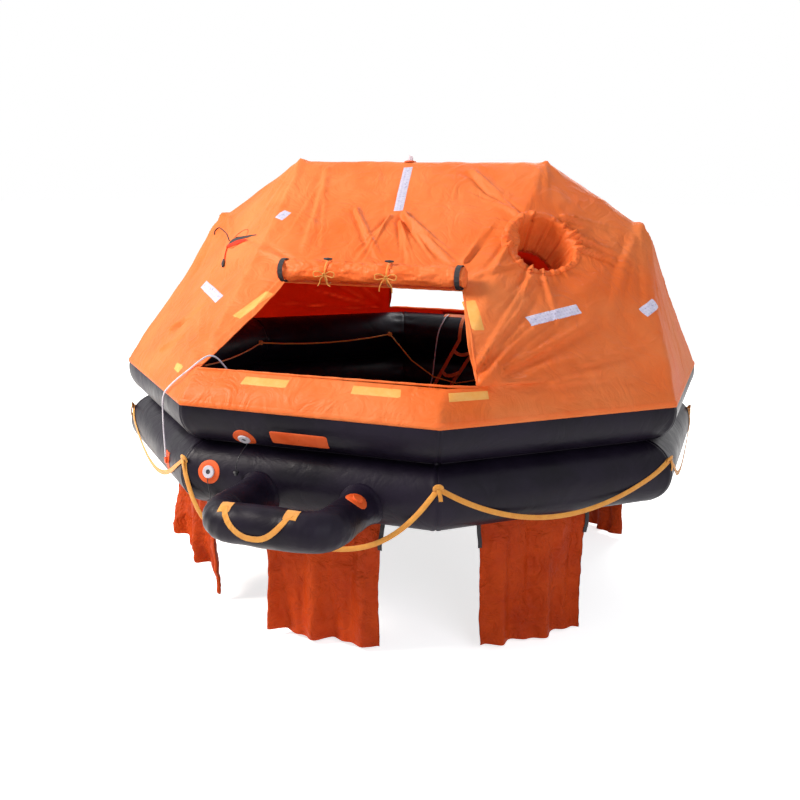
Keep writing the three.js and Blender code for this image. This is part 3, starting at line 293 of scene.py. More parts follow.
# Braided line: off white with the lay of its strands
LINE = finish("cord_braided_white", "d8d2de", "efeaf2", 60, (0.6, 0.75), 1500, 0.0005, threads=520)
PLASTIC = finish("moulded_black_plastic", "131216", "1f1e22", 30, (0.32, 0.45), 1500, 0.00005)
GREY_PLASTIC = finish("moulded_grey_plastic", "bdbac2", "d3d0d8", 40, (0.35, 0.5), 1500, 0.00005)
DARK_PLASTIC = finish("moulded_dark_grey_plastic", "34333a", "45444c", 40, (0.35, 0.5), 1500, 0.00005)
LAMP = finish("lamp_dome_clear", "ece6ee", "f7d9dd", 40, (0.08, 0.14), 800, 0.00003,
              **{"Transmission Weight": 0.35, "Coat Weight": 0.6})
STEEL = finish("cylinder_grey_paint", "84888e", "9a9ea3", 12, (0.36, 0.5), 900, 0.00008,
               **{"Coat Weight": 0.2})
BRASS = finish("valve_head_brass", "a8823f", "c29a55", 25, (0.25, 0.42), 900, 0.00005, **{"Metallic": 1.0})


# Mesh helpers


def settle(obj, material, replaces=(), body="raft"):
    """Gives a new piece its finish, its CAD nodes and the body that it rides on."""
    if material is not None:
        obj.data.materials.clear()
        for one in material if isinstance(material, (list, tuple)) else [material]:
            obj.data.materials.append(one)
    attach(obj, body)
    if replaces:
        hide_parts(*replaces)
    return obj


def link(name, mesh):
    mesh.validate()
    mesh.update(calc_edges=True)
    mesh.polygons.foreach_set("use_smooth", [True] * len(mesh.polygons))
    obj = bpy.data.objects.new(name, mesh)
    scene.collection.objects.link(obj)
    return obj


def grid_mesh(name, points, wrap=(False, False), flip=False, marks=None):
    """A mesh over rows and columns of points, with its UV in metres. marks picks each face's material."""
    points = np.asarray(points, float)
    rows, cols = points.shape[:2]
    i, j = np.meshgrid(np.arange(rows - (not wrap[0])), np.arange(cols - (not wrap[1])), indexing="ij")
    i, j = i.ravel(), j.ravel()
    corners = [(i, j), (i, j + 1), (i + 1, j + 1), (i + 1, j)]
    if flip:
        corners.reverse()
    quads = np.stack([(a % rows) * cols + b % cols for a, b in corners], 1)
    mesh = bpy.data.meshes.new(name)
    mesh.vertices.add(rows * cols)
    mesh.vertices.foreach_set("co", points.ravel())
    mesh.loops.add(quads.size)
    mesh.loops.foreach_set("vertex_index", quads.ravel().astype(np.int32))
    mesh.polygons.add(len(quads))
    mesh.polygons.foreach_set("loop_start", (np.arange(len(quads)) * 4).astype(np.int32))
    mesh.update(calc_edges=True)
    steps = np.linalg.norm(np.diff(points, axis=0, append=points[:1]), axis=2).mean(1)
    down = np.concatenate([[0], np.cumsum(steps)])
    steps = np.linalg.norm(np.diff(points, axis=1, append=points[:, :1]), axis=2).mean(0)
    across = np.concatenate([[0], np.cumsum(steps)])
    uv = np.stack([np.stack([across[b], down[a]], 1) for a, b in corners], 1)
    mesh.uv_layers.new(name="UVMap").data.foreach_set("uv", uv.ravel())
    if marks is not None:
        mesh.polygons.foreach_set("material_index", np.asarray(marks).ravel().astype(np.int32))
    return mesh


def grid(name, points, material, replaces=(), wrap=(False, False), flip=False, marks=None,
         body="raft"):
    return settle(link(name, grid_mesh(name, points, wrap, flip, marks)), material, replaces, body)


def frames(path, up):
    """Tangent, side and up of a path, with up carried along it."""
    path = np.asarray(path, float)
    tangent = unit(np.gradient(path, axis=0))
    ups = []
    last = array(*up)
    for t in tangent:
        last = last - t * (last @ t)
        last = last / np.linalg.norm(last)
        ups.append(last)
    ups = np.array(ups)
    return tangent, np.cross(ups, tangent), ups


def tube_points(path, radius, sides, up=(0, 0, 1), capped=False):
    """Rows of points round a path. radius is a number or one per row. Capped ends close to a point."""
    path = np.asarray(path, float)
    _, side, ups = frames(path, up)
    radius = np.broadcast_to(np.asarray(radius, float), (len(path),))
    if capped:
        path = np.vstack([path[:1], path[:1], path, path[-1:], path[-1:]])
        side, ups = (np.vstack([v[:1], v[:1], v, v[-1:], v[-1:]]) for v in (side, ups))
        radius = np.concatenate([[1e-5, radius[0] * 0.8], radius, [radius[-1] * 0.8, 1e-5]])
    a = np.linspace(0, 2 * np.pi, sides, endpoint=False)
    ring = side[:, None] * np.cos(a)[None, :, None] + ups[:, None] * np.sin(a)[None, :, None]
    return path[:, None] + ring * radius[:, None, None]


def ribbon_points(path, ups, width, thick):
    """Rows of a flat strap's section along a path, its face towards ups."""
    path = np.asarray(path, float)
    ups = np.asarray(ups, float)
    tangent = unit(np.gradient(path, axis=0))
    ups = unit(ups - tangent * (ups * tangent).sum(1, keepdims=True))
    side = np.cross(tangent, ups)
    w, t = width / 2, thick / 2
    section = [(-w, -t * 0.5), (-w * 0.93, -t), (0, -t), (w * 0.93, -t), (w, -t * 0.5), (w, t * 0.5),
               (w * 0.93, t), (0, t), (-w * 0.93, t), (-w, t * 0.5)]
    return np.stack([path + side * x + ups * y for x, y in section], 1)


def joined(name, parts, material, replaces=(), body="raft"):
    """One piece from several meshes."""
    target = bmesh.new()
    for mesh in parts:
        target.from_mesh(mesh)
        bpy.data.meshes.remove(mesh)
    mesh = bpy.data.meshes.new(name)
    target.to_mesh(mesh)
    target.free()
    return settle(link(name, mesh), material, replaces, body)


def edge(angle):
    a = math.radians(angle)
    return array(math.cos(a), math.sin(a), 0), array(-math.sin(a), math.cos(a), 0)


def on_ring(angle, along, z, lean, radius=TUBE):
    """Points on a buoyancy tube: along one edge, and round the section by lean in degrees."""
    out, side = edge(angle)
    lean = np.radians(np.asarray(lean, float))
    along = np.asarray(along, float)
    reach = APOTHEM + radius * np.cos(lean)
    return (out * reach[..., None] + side * along[..., None]
            + array(0, 0, 1) * (z + radius * np.sin(lean))[..., None])


def open_hole(mesh_data, centre, axis, radius, reach):
    """Cuts a round hole in a mesh and draws the edge's points out to its rim."""
    bm = bmesh.new()
    bm.from_mesh(mesh_data)
    axis = Vector(axis).normalized()
    centre = Vector(centre)
    near = {}
    for v in bm.verts:
        d = v.co - centre
        if d.length < reach:
            flat = d - axis * d.dot(axis)
            near[v] = (flat, flat.length)
    inside = [f for f in bm.faces if all(v in near and near[v][1] < radius for v in f.verts)]
    bmesh.ops.delete(bm, geom=inside, context="FACES")
    for v in bm.verts:
        if v in near and near[v][1] < radius and near[v][1] > 1e-6:
            v.co += near[v][0] * (radius / near[v][1] - 1)
    bm.to_mesh(mesh_data)
    bm.free()


# Buoyancy tubes


def buoyancy_tube(name, node_name, z, hole):
    """An octagonal tube, mitred, with seam tape over each mitre and puckers on the inside of each bend."""
    half_turn = math.tan(math.pi / 8)
    lean = np.linspace(0, 360, 72, endpoint=False)
    rows, marks = [], []
    for angle in EDGES:
        for s in np.sin(np.linspace(-math.pi / 2, math.pi / 2, 61))[:-1]:
            c = np.cos(np.radians(lean))
            half = (APOTHEM + TUBE * c) * half_turn
            away = (1 - abs(s)) * half
            inner = smooth(-c, 0.0, 0.7)
            pucker = inner * bell(away - 0.045, 0.045) * (0.5 + 0.5 * np.cos(np.radians(lean * 13 + angle)))
            swell = 0.0010 * np.cos(np.radians(lean * 3 + angle * 2)) * bell(s, 0.7)
            crease = -0.006 * bell(away, 0.006)
            tape = 0.0012 * (1 - smooth(away, 0.024, 0.027))
            radius = TUBE - 0.008 * pucker + swell + crease * (1 - inner * 0.5) + tape
            rows.append(on_ring(angle, s * half, z, lean, radius))
            marks.append(away < 0.0255)
    obj = grid(name, np.array(rows), [RUBBER, TAPE], [node_name], (True, True), flip=True,
               marks=np.array(marks))
    along, tilt = hole
    centre = on_ring(270, along, z, tilt)
    open_hole(obj.data, centre, centre - on_ring(270, along, z, tilt, 0.0), 0.026, 0.08)
    return obj


UPPER_VALVE = (-0.328, -44)
LOWER_VALVE = (-0.5, 13)
buoyancy_tube("upper_tube_skin", "upper_buoyancy_tube", UPPER_Z, UPPER_VALVE)
buoyancy_tube("lower_tube_skin", "lower_buoyancy_tube", LOWER_Z, LOWER_VALVE)


def fillet_strip():
    """Glued joint strip between the two tubes, outside and inside."""
    parts = []
    for inward in (1, -1):
        rows = []
        middle = (LOWER_Z + UPPER_Z) / 2
        for angle in EDGES:
            out, side = edge(angle)
            for s in np.linspace(-1, 1, 13)[:-1]:
                row = []
                for h, d in ((-0.05, 0.0155), (-0.03, 0.0215), (0, 0.0245), (0.03, 0.0215), (0.05, 0.0155)):
                    reach = APOTHEM + inward * d
                    row.append(out * reach + side * s * reach * math.tan(math.pi / 8)
                               + array(0, 0, middle + h))
                rows.append(row)
        parts.append(grid_mesh("strip", np.array(rows), (True, False), flip=inward > 0))
    joined("tube_joint_strip", parts, TAPE)


fillet_strip()


def floor_skin():
    """Floor with welded quilting and its rim turned up inside the lower tube."""
    a = np.radians(np.linspace(0, 360, 240, endpoint=False))
    wedge = (a + math.pi / 8) % (math.pi / 4) - math.pi / 8
    reach = 1.322 / np.cos(wedge)
    rows = []
    profile = [(s, "top") for s in np.linspace(0.002, 0.965, 70)]
    profile += [(0.972, 0.05), (0.985, 0.058), (0.997, 0.056), (1.0, 0.03), (0.998, 0.004)]
    profile += [(s, "low") for s in np.linspace(0.99, 0.002, 60)]
    for share, level in profile:
        x, y = reach * share * np.cos(a), reach * share * np.sin(a)
        quilt = np.abs(np.sin(x * math.pi / 0.16)) ** 0.6 * smooth(0.96 - share, 0, 0.08)
        if level == "top":
            z = 0.010 + 0.010 * quilt
        elif level == "low":
            z = 0.0025 * (1 - quilt)
        else:
            z = np.full_like(x, level)
        rows.append(np.stack([x, y, z], 1))
    grid("floor_quilted", np.array(rows), FLOOR, ["floor_panel"], (False, True), flip=True)


floor_skin()


def rounded(points, radius, steps):
    """A path with round corners, as evenly spaced points."""
    p = [array(*q) for q in points]
    line = [p[0]]
    for a, b, c in zip(p, p[1:], p[2:]):
        back, on = unit(a - b), unit(c - b)
        turn = math.acos(np.clip(-(back @ on), -1, 1))
        cut = radius * math.tan(turn / 2)
        start, end = b + back * cut, b + on * cut
        for t in np.linspace(0, 1, steps):
            line.append((1 - t) ** 2 * start + 2 * t * (1 - t) * b + t * t * end)
    line.append(p[-1])
    line = np.array(line)
    length = np.concatenate([[0], np.cumsum(np.linalg.norm(np.diff(line, axis=0), axis=1))])
    even = np.linspace(0, length[-1], max(int(length[-1] / 0.009), 8))
    return np.stack([np.interp(even, length, line[:, k]) for k in range(3)], 1)


def puckered_tube(name, node_name, path, radius, sides, bend, up=(0, 0, 1), flare=None):
    """A sewn tube whose inner side wrinkles in its bends. bend is the width of the wrinkled stretch."""
    path = np.asarray(path)
    tangent, side, ups = frames(path, up)
    turn = np.gradient(tangent, axis=0)
    rate = np.linalg.norm(turn, axis=1)
    inward = unit(turn)
    a = np.linspace(0, 2 * np.pi, sides, endpoint=False)
    ring = side[:, None] * np.cos(a)[None, :, None] + ups[:, None] * np.sin(a)[None, :, None]
    facing = (ring * inward[:, None]).sum(2)
    strong = smooth(rate / max(rate.max(), 1e-9), 0.1, 0.8)[:, None]
    length = np.concatenate([[0], np.cumsum(np.linalg.norm(np.diff(path, axis=0), axis=1))])[:, None]
    wave = np.sin(length * 2 * np.pi / bend + 3 * np.sin(a)[None])
    depth = strong * (smooth(facing, -0.2, 0.8) * (0.5 + 0.5 * wave) * 0.012
                      + smooth(-facing, 0.2, 1) * 0.002 * wave)
    swell = 0.0012 * np.sin(length * 23 + 2 * a[None]) + 0.0008 * np.sin(length * 47 - 3 * a[None])
    reach = radius - depth + swell
    points = path[:, None] + ring * reach[..., None]
    if flare is not None:
        points = points + ring * flare(points)[..., None]
    return grid(name, points, RUBBER, [node_name], (False, True))


def ramp_flare(points):
    """Collar where the ramp is glued on the lower tube."""
    away = np.hypot(np.abs(points[..., 1]) - APOTHEM, points[..., 2] - LOWER_Z) - TUBE
    return 0.016 * np.exp(-np.clip(away, 0, None) / 0.018) + 0.0015 * (away < 0.055)


RAMP_PATH = rounded([(0.278, -1.44, RAMP_Z), (0.278, -1.97, RAMP_Z), (-0.238, -1.97, RAMP_Z),
                     (-0.238, -1.44, RAMP_Z)], 0.125, 14)
puckered_tube("ramp_skin", "boarding_ramp", RAMP_PATH, RAMP, 64, 0.034, flare=ramp_flare)
ARCH_PATH = rounded([(-1.425, 0, 0.57), (-1.22, 0, 1.2646), (-0.718, 0, 1.5866), (0.718, 0, 1.5866),
                     (1.22, 0, 1.2646), (1.425, 0, 0.57)], 0.14, 12)
puckered_tube("arch_skin", "arch_tube", ARCH_PATH, ARCH - 0.0015, 48, 0.05, up=(0, 1, 0))


# Canopy: every piece of it is laid on one skin, the hull of the tubes that hold the cloth


def cloth_hull():
    bm = bmesh.new()
    for name in ("front_canopy", "rear_canopy"):
        for v in nodes[name].data.vertices:
            bm.verts.new(v.co)
    bmesh.ops.convex_hull(bm, input=bm.verts)
    tree = BVHTree.FromBMesh(bm)
    bm.free()
    return tree


HULL = cloth_hull()
HEART = Vector((0, 0, SKIRT_Z))
PORT = array(0.84, -0.473, 1.2869)
PORT_AXES = (array(0.773, 0.635, 0), array(-0.446, 0.544, 0.711), array(0.451, -0.549, 0.703))
PORT_RADIUS = 0.188
COLLECTOR = array(-0.94, -0.44, 1.2485)
SILL_Z, HEAD_Z = 0.6749, 1.0609
ENTRANCES = ((-1, 0.06, 0.685, 0.482), (1, 0.0, 0.685, 0.482))

FOLD_DEPTH = 2.4

# Tension folds that the photograph shows: from, to, width and height in metres
FOLDS = [
    ((0.04, -0.397, 1.427), (0.47, -0.756, 1.166), 0.022, 0.012),
    ((-0.012, -0.413, 1.415), (-0.101, -0.758, 1.164), 0.020, 0.006),
    ((-0.246, -0.368, 1.447), (0.051, -0.751, 1.169), 0.020, 0.007),
    ((-0.532, -0.063, 1.669), (-0.413, -0.727, 1.187), 0.026, 0.007),
    ((-0.46, -0.776, 1.151), (-1.006, -0.392, 1.245), 0.022, 0.007),
    ((-0.439, -0.866, 1.085), (-0.644, -1.328, 0.749), 0.018, 0.006),
    ((0.744, -1.319, 0.688), (1.167, -0.624, 0.929), 0.024, 0.015),
    ((0.756, -1.326, 0.672), (1.429, -0.511, 0.796), 0.022, 0.012),
    ((0.713, -1.28, 0.743), (0.877, -0.704, 1.085), 0.020, 0.011),
    ((0.775, -1.325, 0.655), (1.297, -0.762, 0.691), 0.018, 0.009),
    ((0.74, -1.31, 0.70), (1.02, -0.72, 1.0), 0.016, 0.008),
    ((1.074, -1.089, 0.598), (1.481, -0.668, 0.611), 0.014, 0.006),
    ((1.001, -1.09, 0.663), (1.509, -0.587, 0.658), 0.016, 0.007),
    ((0.878, -0.277, 1.416), (1.233, -0.094, 1.332), 0.014, 0.009),
    ((0.954, -0.323, 1.332), (1.297, -0.209, 1.183), 0.014, 0.009),
    ((0.997, -0.37, 1.269), (1.354, -0.224, 1.119), 0.014, 0.008),
    ((0.84, -0.659, 1.144), (0.766, -1.038, 0.897), 0.016, 0.009),
    ((0.887, -0.639, 1.13), (1.01, -0.83, 0.886), 0.013, 0.007),
    ((0.698, -0.58, 1.294), (0.615, -0.895, 1.065), 0.016, 0.009),
    ((0.691, -0.393, 1.43), (0.364, -0.207, 1.565), 0.018, 0.006),
    ((0.329, -0.094, 1.647), (0.687, -0.379, 1.44), 0.018, 0.006),
    ((-1.164, -0.826, 0.753), (-0.912, -0.867, 0.936), 0.022, 0.008),
    ((-1.159, -0.938, 0.657), (-0.906, -1.036, 0.795), 0.018, 0.007),
    ((-1.188, -0.086, 1.367), (-0.943, -0.589, 1.133), 0.024, 0.006),
    ((0.554, -0.826, 1.115), (0.763, -0.663, 1.191), 0.016, 0.010),
    ((0.483, -0.73, 1.184), (0.59, -0.416, 1.413), 0.018, 0.007),
    ((0.042, -0.433, 1.401), (0.212, -0.743, 1.175), 0.018, 0.006),
]


def fan(origin, target, spread, count, width, height, seed):
    """Folds that spread from a held corner of the cloth towards a target."""
    dice = np.random.default_rng(seed)
    origin, target = array(*origin), array(*target)
    lay = target - origin
    across = unit(np.cross(lay, unit(origin - array(0, 0, 0.5))))
    found = []
    for k in range(count):
        turn = spread * (k / max(count - 1, 1) - 0.5) + dice.uniform(-0.05, 0.05)
        reach = dice.uniform(0.6, 1.0)
        found.append((origin, origin + lay * reach * math.cos(turn) + across * np.linalg.norm(lay) * reach
                      * math.sin(turn), width * dice.uniform(0.8, 1.2), height * dice.uniform(0.6, 1.0)))
    return found


FOLDS += fan((-0.70, 0.0, 1.69), (-0.95, -0.60, 1.15), 0.7, 3, 0.028, 0.006, 1)
FOLDS += fan((0.718, 0.0, 1.69), (0.80, -0.28, 1.45), 0.9, 3, 0.018, 0.006, 2)
FOLDS += fan((-0.61, -1.33, 0.69), (-1.25, -0.75, 0.72), 0.8, 5, 0.020, 0.009, 3)
FOLDS += fan((0.75, -1.32, 0.69), (1.30, -0.62, 0.86), 0.9, 5, 0.016, 0.009, 4)
FOLDS += fan((-0.72, -1.50, 0.56), (-1.05, -1.10, 0.62), 0.7, 3, 0.014, 0.005, 5)
FOLDS += fan((1.22, 0.0, 1.37), (1.40, -0.55, 0.80), 0.6, 4, 0.022, 0.008, 6)
FOLDS += fan((-1.22, 0.0, 1.37), (-1.42, -0.50, 0.80), 0.6, 4, 0.024, 0.007, 7)
for turn in np.linspace(0, 2 * math.pi, 20, endpoint=False):
    spoke = PORT_AXES[0] * math.cos(turn) + PORT_AXES[1] * math.sin(turn)
    far = 0.28 + 0.10 * math.sin(turn * 3 + 1)
    FOLDS.append((PORT + spoke * 0.17, PORT + spoke * far, 0.010, 0.006 + 0.003 * math.sin(turn * 5)))
CREASES = []
for k, (a, b, width, height) in enumerate(FOLDS):
    start, end = array(*a), array(*b)
    lay = end - start
    over = unit(np.cross(lay, unit(start - array(0, 0, 0.5)))) * np.linalg.norm(lay)
    turn = 0.10 + 0.05 * math.sin(k * 2.4)
    CREASES.append((start, start + lay * 0.8 + over * turn, width * 0.55, height * 0.55))
    CREASES.append((start + lay * 0.15, start + lay * 0.95 - over * turn * 0.8, width * 0.5, height * 0.45))
FOLDS += CREASES
# The rear half takes some of the front folds, turned half round, and none that starts near the port
PORT_CLEAR = 0.45
BACK_FOLDS = [(array(-a[0], -a[1], a[2]), array(-b[0], -b[1], b[2]), w, h)
              for a, b, w, h in FOLDS[:12] + FOLDS[21:24] + FOLDS[27:56]
              if np.linalg.norm(array(*a) - PORT) > PORT_CLEAR]


def crease(p, a, b, width, height):
    """A soft ridge with a valley beside it, strongest near its start."""
    a, b = array(*a), array(*b)
    lay = b - a
    t = np.clip((p - a) @ lay / (lay @ lay), 0, 1)
    off = p - (a + t[:, None] * lay)
    across = unit(np.cross(lay, unit((a + b) / 2 - array(0, 0, 0.5))))
    s = off @ across / width
    depth = np.linalg.norm(off - np.outer(off @ across, across), axis=1)
    taper = np.minimum(1, t / 0.06) * (1 - t) ** 0.6
    return FOLD_DEPTH * height * taper * (bell(s, 0.8) - 0.65 * bell(s - 1.2, 0.9)) * bell(depth, 0.09)


def near_line(p, a, b):
    a, b = array(*a), array(*b)
    t = np.clip((p - a) @ (b - a) / ((b - a) @ (b - a)), 0, 1)
    return np.linalg.norm(p - (a + t[:, None] * (b - a)), axis=1)


def relief(p):
    """How far the cloth stands out from the hull at each point."""
    rise = (p[:, 2] - 0.66) / 1.0
    held = smooth(np.abs(p[:, 1]), 0.06, 0.35) * smooth(rise, 0.0, 0.12)
    sag = -0.016 * np.sin(np.pi * np.clip(rise, 0, 1)) * held
    total = sag
    for a, b, width, height in FOLDS + BACK_FOLDS:
        total = total + crease(p, a, b, width, height)
    rough = np.array([noise.fractal(Vector(q) * 3.1, 0.9, 2.1, 3) for q in p])
    small = np.array([noise.fractal(Vector((q[0] * 9, q[1] * 9, q[2] * 5)), 0.8, 2.2, 2) for q in p])
    total = total + 0.0085 * rough + 0.0032 * small
    for side, shift in ((-1, 0.06), (1, 0.0)):
        roll = near_line(p, (shift - 0.5, side * 0.86, 1.09), (shift + 0.5, side * 0.86, 1.09))
        total = total * (1 - 0.93 * bell(roll, 0.10))
    total = total * (1 - 0.85 * bell(p[:, 2] - SKIRT_Z, 0.045))
    total = total * (1 - 0.92 * bell(np.linalg.norm(p - COLLECTOR, axis=1), 0.13))
    light = np.hypot(p[:, 0] + 0.055, p[:, 1])
    total = np.where(p[:, 2] > 1.6, total * (1 - bell(light, 0.07)), total)
    free = smooth(p[:, 2], 0.66, 0.76) * smooth(np.abs(p[:, 1]), 0.11, 0.24)
    return np.clip(total, -0.0012 - 0.036 * free, 0.030)


def hull_points(p):
    """Each point drawn onto the hull, along the line from the heart of the cabin."""
    found = np.array(p, float)
    for k, q in enumerate(found):
        direction = (Vector(q) - HEART).normalized()
        hit = HULL.ray_cast(HEART, direction)[0]
        if hit is not None:
            found[k] = hit
    return found


def skin(p, lift=0.0):
    """Points on the cloth as it hangs, lifted off it by lift."""
    flat = hull_points(np.asarray(p, float).reshape(-1, 3))
    away = unit(flat - np.array(HEART))
    return (flat + away * (relief(flat) + lift)[:, None]).reshape(np.shape(p))


def cut_out(bm, near, reach, planes):
    """Opens a hole bounded by planes, each a point and the direction that points into the hole."""
    near = Vector(near)
    for point, into in planes:
        faces = [f for f in bm.faces if (f.calc_center_median() - near).length < reach]
        corners = list({v for f in faces for v in f.verts})
        sides = list({e for f in faces for e in f.edges})
        geometry = corners + sides + faces
        bmesh.ops.bisect_plane(bm, geom=geometry, plane_co=point, plane_no=into, dist=1e-5)
    inside = []
    for f in bm.faces:
        c = f.calc_center_median()
        if (c - near).length < reach and all((c - Vector(p)).dot(Vector(n)) > 0 for p, n in planes):
            inside.append(f)
    bmesh.ops.delete(bm, geom=inside, context="FACES")


def entrance_planes(side, shift, sill, head):
    slant = (sill - head) / (HEAD_Z - SILL_Z)
    return [
        ((0, side, SILL_Z), (0, 0, 1)), ((0, side, HEAD_Z), (0, 0, -1)),
        ((shift - sill, side, SILL_Z), (1, 0, -slant)), ((shift + sill, side, SILL_Z), (-1, 0, -slant)),
    ]


def canopy_half(name, node_name, side, columns, rows):
    start = math.pi if side < 0 else 0.0
    azimuth = start + np.linspace(0, math.pi, columns)
    rise = np.radians(np.concatenate([[0.02, 0.35], np.linspace(0.8, 89.7, rows)]))
    a, e = np.meshgrid(azimuth, rise)
    rays = np.stack([np.cos(e) * np.cos(a), np.cos(e) * np.sin(a), np.sin(e)], 2)
    flat = hull_points((rays + np.array(HEART)).reshape(-1, 3)).reshape(rays.shape)
    mesh = grid_mesh(name, flat)
    bm = bmesh.new()
    bm.from_mesh(mesh)
    _, shift, sill, head = next(e for e in ENTRANCES if e[0] == side)
    cut_out(bm, (shift, side * 1.1, 0.87), 1.0, entrance_planes(side, shift, sill, head))
    if side < 0:
        tip, back = COLLECTOR + array(0.10, -0.062, 0.02), COLLECTOR - array(0.05, -0.03, 0.01)
        lay = unit(tip - back)
        over = unit(np.cross(array(-0.451, -0.549, 0.703), lay))
        cut_out(bm, COLLECTOR, 0.13, [
            (back, lay),
            (back + over * 0.024, -over * 0.99 - lay * 0.14),
            (back - over * 0.024, over * 0.99 - lay * 0.14),
        ])
    bm.to_mesh(mesh)
    bm.free()
    if side < 0:
        open_hole(mesh, PORT, PORT_AXES[2], PORT_RADIUS, 0.4)
    co = np.array([v.co for v in mesh.vertices])
    away = unit(co - np.array(HEART))
    co = co + away * relief(co)[:, None]
    mesh.vertices.foreach_set("co", co.ravel())
    obj = settle(link(name, mesh), [CANOPY, LINING], [node_name])
    shell = obj.modifiers.new("thickness", "SOLIDIFY")
    shell.thickness = 0.0025
    shell.offset = -1
    shell.material_offset = 1
    return obj


canopy_half("canopy_front", "front_canopy", -1, 385, 150)
canopy_half("canopy_rear", "rear_canopy", 1, 249, 100)


def strip_on_skin(name, a, b, width, lift, material, taper=None, steps=28, across=8, thick=0.0015):
    """A band laid on the cloth from a to b, with its edges turned down to it."""
    a, b = array(*a), array(*b)
    lay = unit(b - a)
    normal = unit((a + b) / 2 - np.array(HEART))
    side = unit(np.cross(normal, lay))
    t = np.linspace(0, 1, steps)
    s = np.linspace(-0.5, 0.5, across)
    wide = width * (taper(t) if taper else np.ones_like(t))
    flat = a + (b - a) * t[:, None, None] + side * (s[None, :, None] * wide[:, None, None])
    top = skin(flat, lift + thick)
    rim = np.ones((steps, across))
    rim[1:-1, 1:-1] = 0
    low = skin(flat, lift - 0.0008)
    points = np.where(rim[..., None] > 0, low, top)
    return grid(name, points, material)


for place, a, b, width, steps in (
    ("top", (-0.04, -0.075, 1.66), (0.012, -0.383, 1.436), 0.052, 28),
    ("right", (0.878, -0.903, 0.931), (1.077, -0.66, 0.978), 0.052, 28),
    ("far_right", (1.40, -0.30, 0.985), (1.395, -0.42, 0.955), 0.052, 28),
    ("left", (-1.072, -0.638, 1.002), (-0.80, -0.932, 0.957), 0.05, 28),
    ("small", (-0.676, -0.469, 1.374), (-0.64, -0.416, 1.413), 0.045, 12),
    ("rear", (0.04, 0.075, 1.66), (-0.012, 0.383, 1.436), 0.052, 28),
    ("rear_left", (-0.878, 0.903, 0.931), (-1.077, 0.66, 0.978), 0.052, 28),
):
    strip_on_skin(f"reflective_tape_{place}", a, b, width, 0.001, REFLECT, steps=steps)
for k, (a, b, width) in enumerate((
    ((-0.590, -1.130, 0.893), (-0.485, -0.965, 1.014), 0.06),
    ((0.590, -0.955, 1.023), (0.690, -1.110, 0.905), 0.062),
    ((-0.37, -1.50, 0.647), (-0.13, -1.50, 0.647), 0.034),
    ((0.20, -1.50, 0.647), (0.44, -1.50, 0.647), 0.034),
    ((0.66, -1.475, 0.645), (0.82, -1.36, 0.645), 0.036),
    ((-0.90, -1.28, 0.645), (-0.80, -1.36, 0.645), 0.034),
    ((0.590, 1.130, 0.893), (0.485, 0.965, 1.014), 0.085),
    ((-0.590, 0.955, 1.023), (-0.700, 1.120, 0.900), 0.085),
    ((-0.30, 1.50, 0.647), (0.0, 1.50, 0.647), 0.034),
)):
    strip_on_skin(f"yellow_patch_{k}", a, b, width, 0.0008, YELLOW_PATCH, steps=16)


def hem_line(name, corners, radius, material):
    """A rolled hem round an opening in the cloth."""
    points = []
    ring = corners + corners[:1]
    for a, b in zip(ring, ring[1:]):
        a, b = array(*a), array(*b)
        for t in np.linspace(0, 1, 40, endpoint=False):
            points.append(a + (b - a) * t)
    path = skin(np.array(points), 0.0)
    tangent = unit(np.roll(path, -1, 0) - np.roll(path, 1, 0))
    away = unit(path - np.array(HEART))
    away = unit(away - tangent * (away * tangent).sum(1, keepdims=True))
    side = np.cross(tangent, away)
    turn = np.linspace(0, 2 * np.pi, 10, endpoint=False)
    wave = radius * (1 + 0.16 * np.sin(np.arange(len(path)) * 1.9))
    rows = path[:, None] + (side[:, None] * np.cos(turn)[None, :, None] * 1.7
                            + away[:, None] * np.sin(turn)[None, :, None]) * wave[:, None, None]
    grid(name, rows, material, wrap=(True, True))


for side, shift, sill, head in ENTRANCES:
    corners = []
    for x, z in ((-sill, SILL_Z), (sill, SILL_Z), (head, HEAD_Z), (-head, HEAD_Z)):
        hit = HULL.ray_cast(Vector((shift + x, side * 3.0, z)), Vector((0, -side, 0)))[0]
        corners.append(tuple(hit))
    hem_line("entrance_hem_front" if side < 0 else "entrance_hem_rear", corners, 0.0035, CANOPY)


# Height over the skirt's line and thickness over the tube, across the glued edge
HEM_PROFILE = ((-0.010, 0.0004), (-0.008, 0.0030), (0.0, 0.0062), (0.012, 0.0070), (0.020, 0.0040))


def skirt_hem():
    """Glued edge of the canopy on the upper tube."""
    rows = []
    for angle in EDGES:
        out, side_way = edge(angle)
        for s in np.linspace(-1, 1, 40)[:-1]:
            row = []
            for h, d in HEM_PROFILE:
                lean = math.asin((SKIRT_Z + h - UPPER_Z) / TUBE)
                reach = APOTHEM + TUBE * math.cos(lean) + d + 0.0006 * math.sin(s * 60 + angle)
                row.append(out * reach + side_way * s * reach * math.tan(math.pi / 8)
                           + array(0, 0, SKIRT_Z + h))
            rows.append(row)
    grid("canopy_skirt_hem", np.array(rows), CANOPY, wrap=(True, False), flip=True)


skirt_hem()


# Look-out port


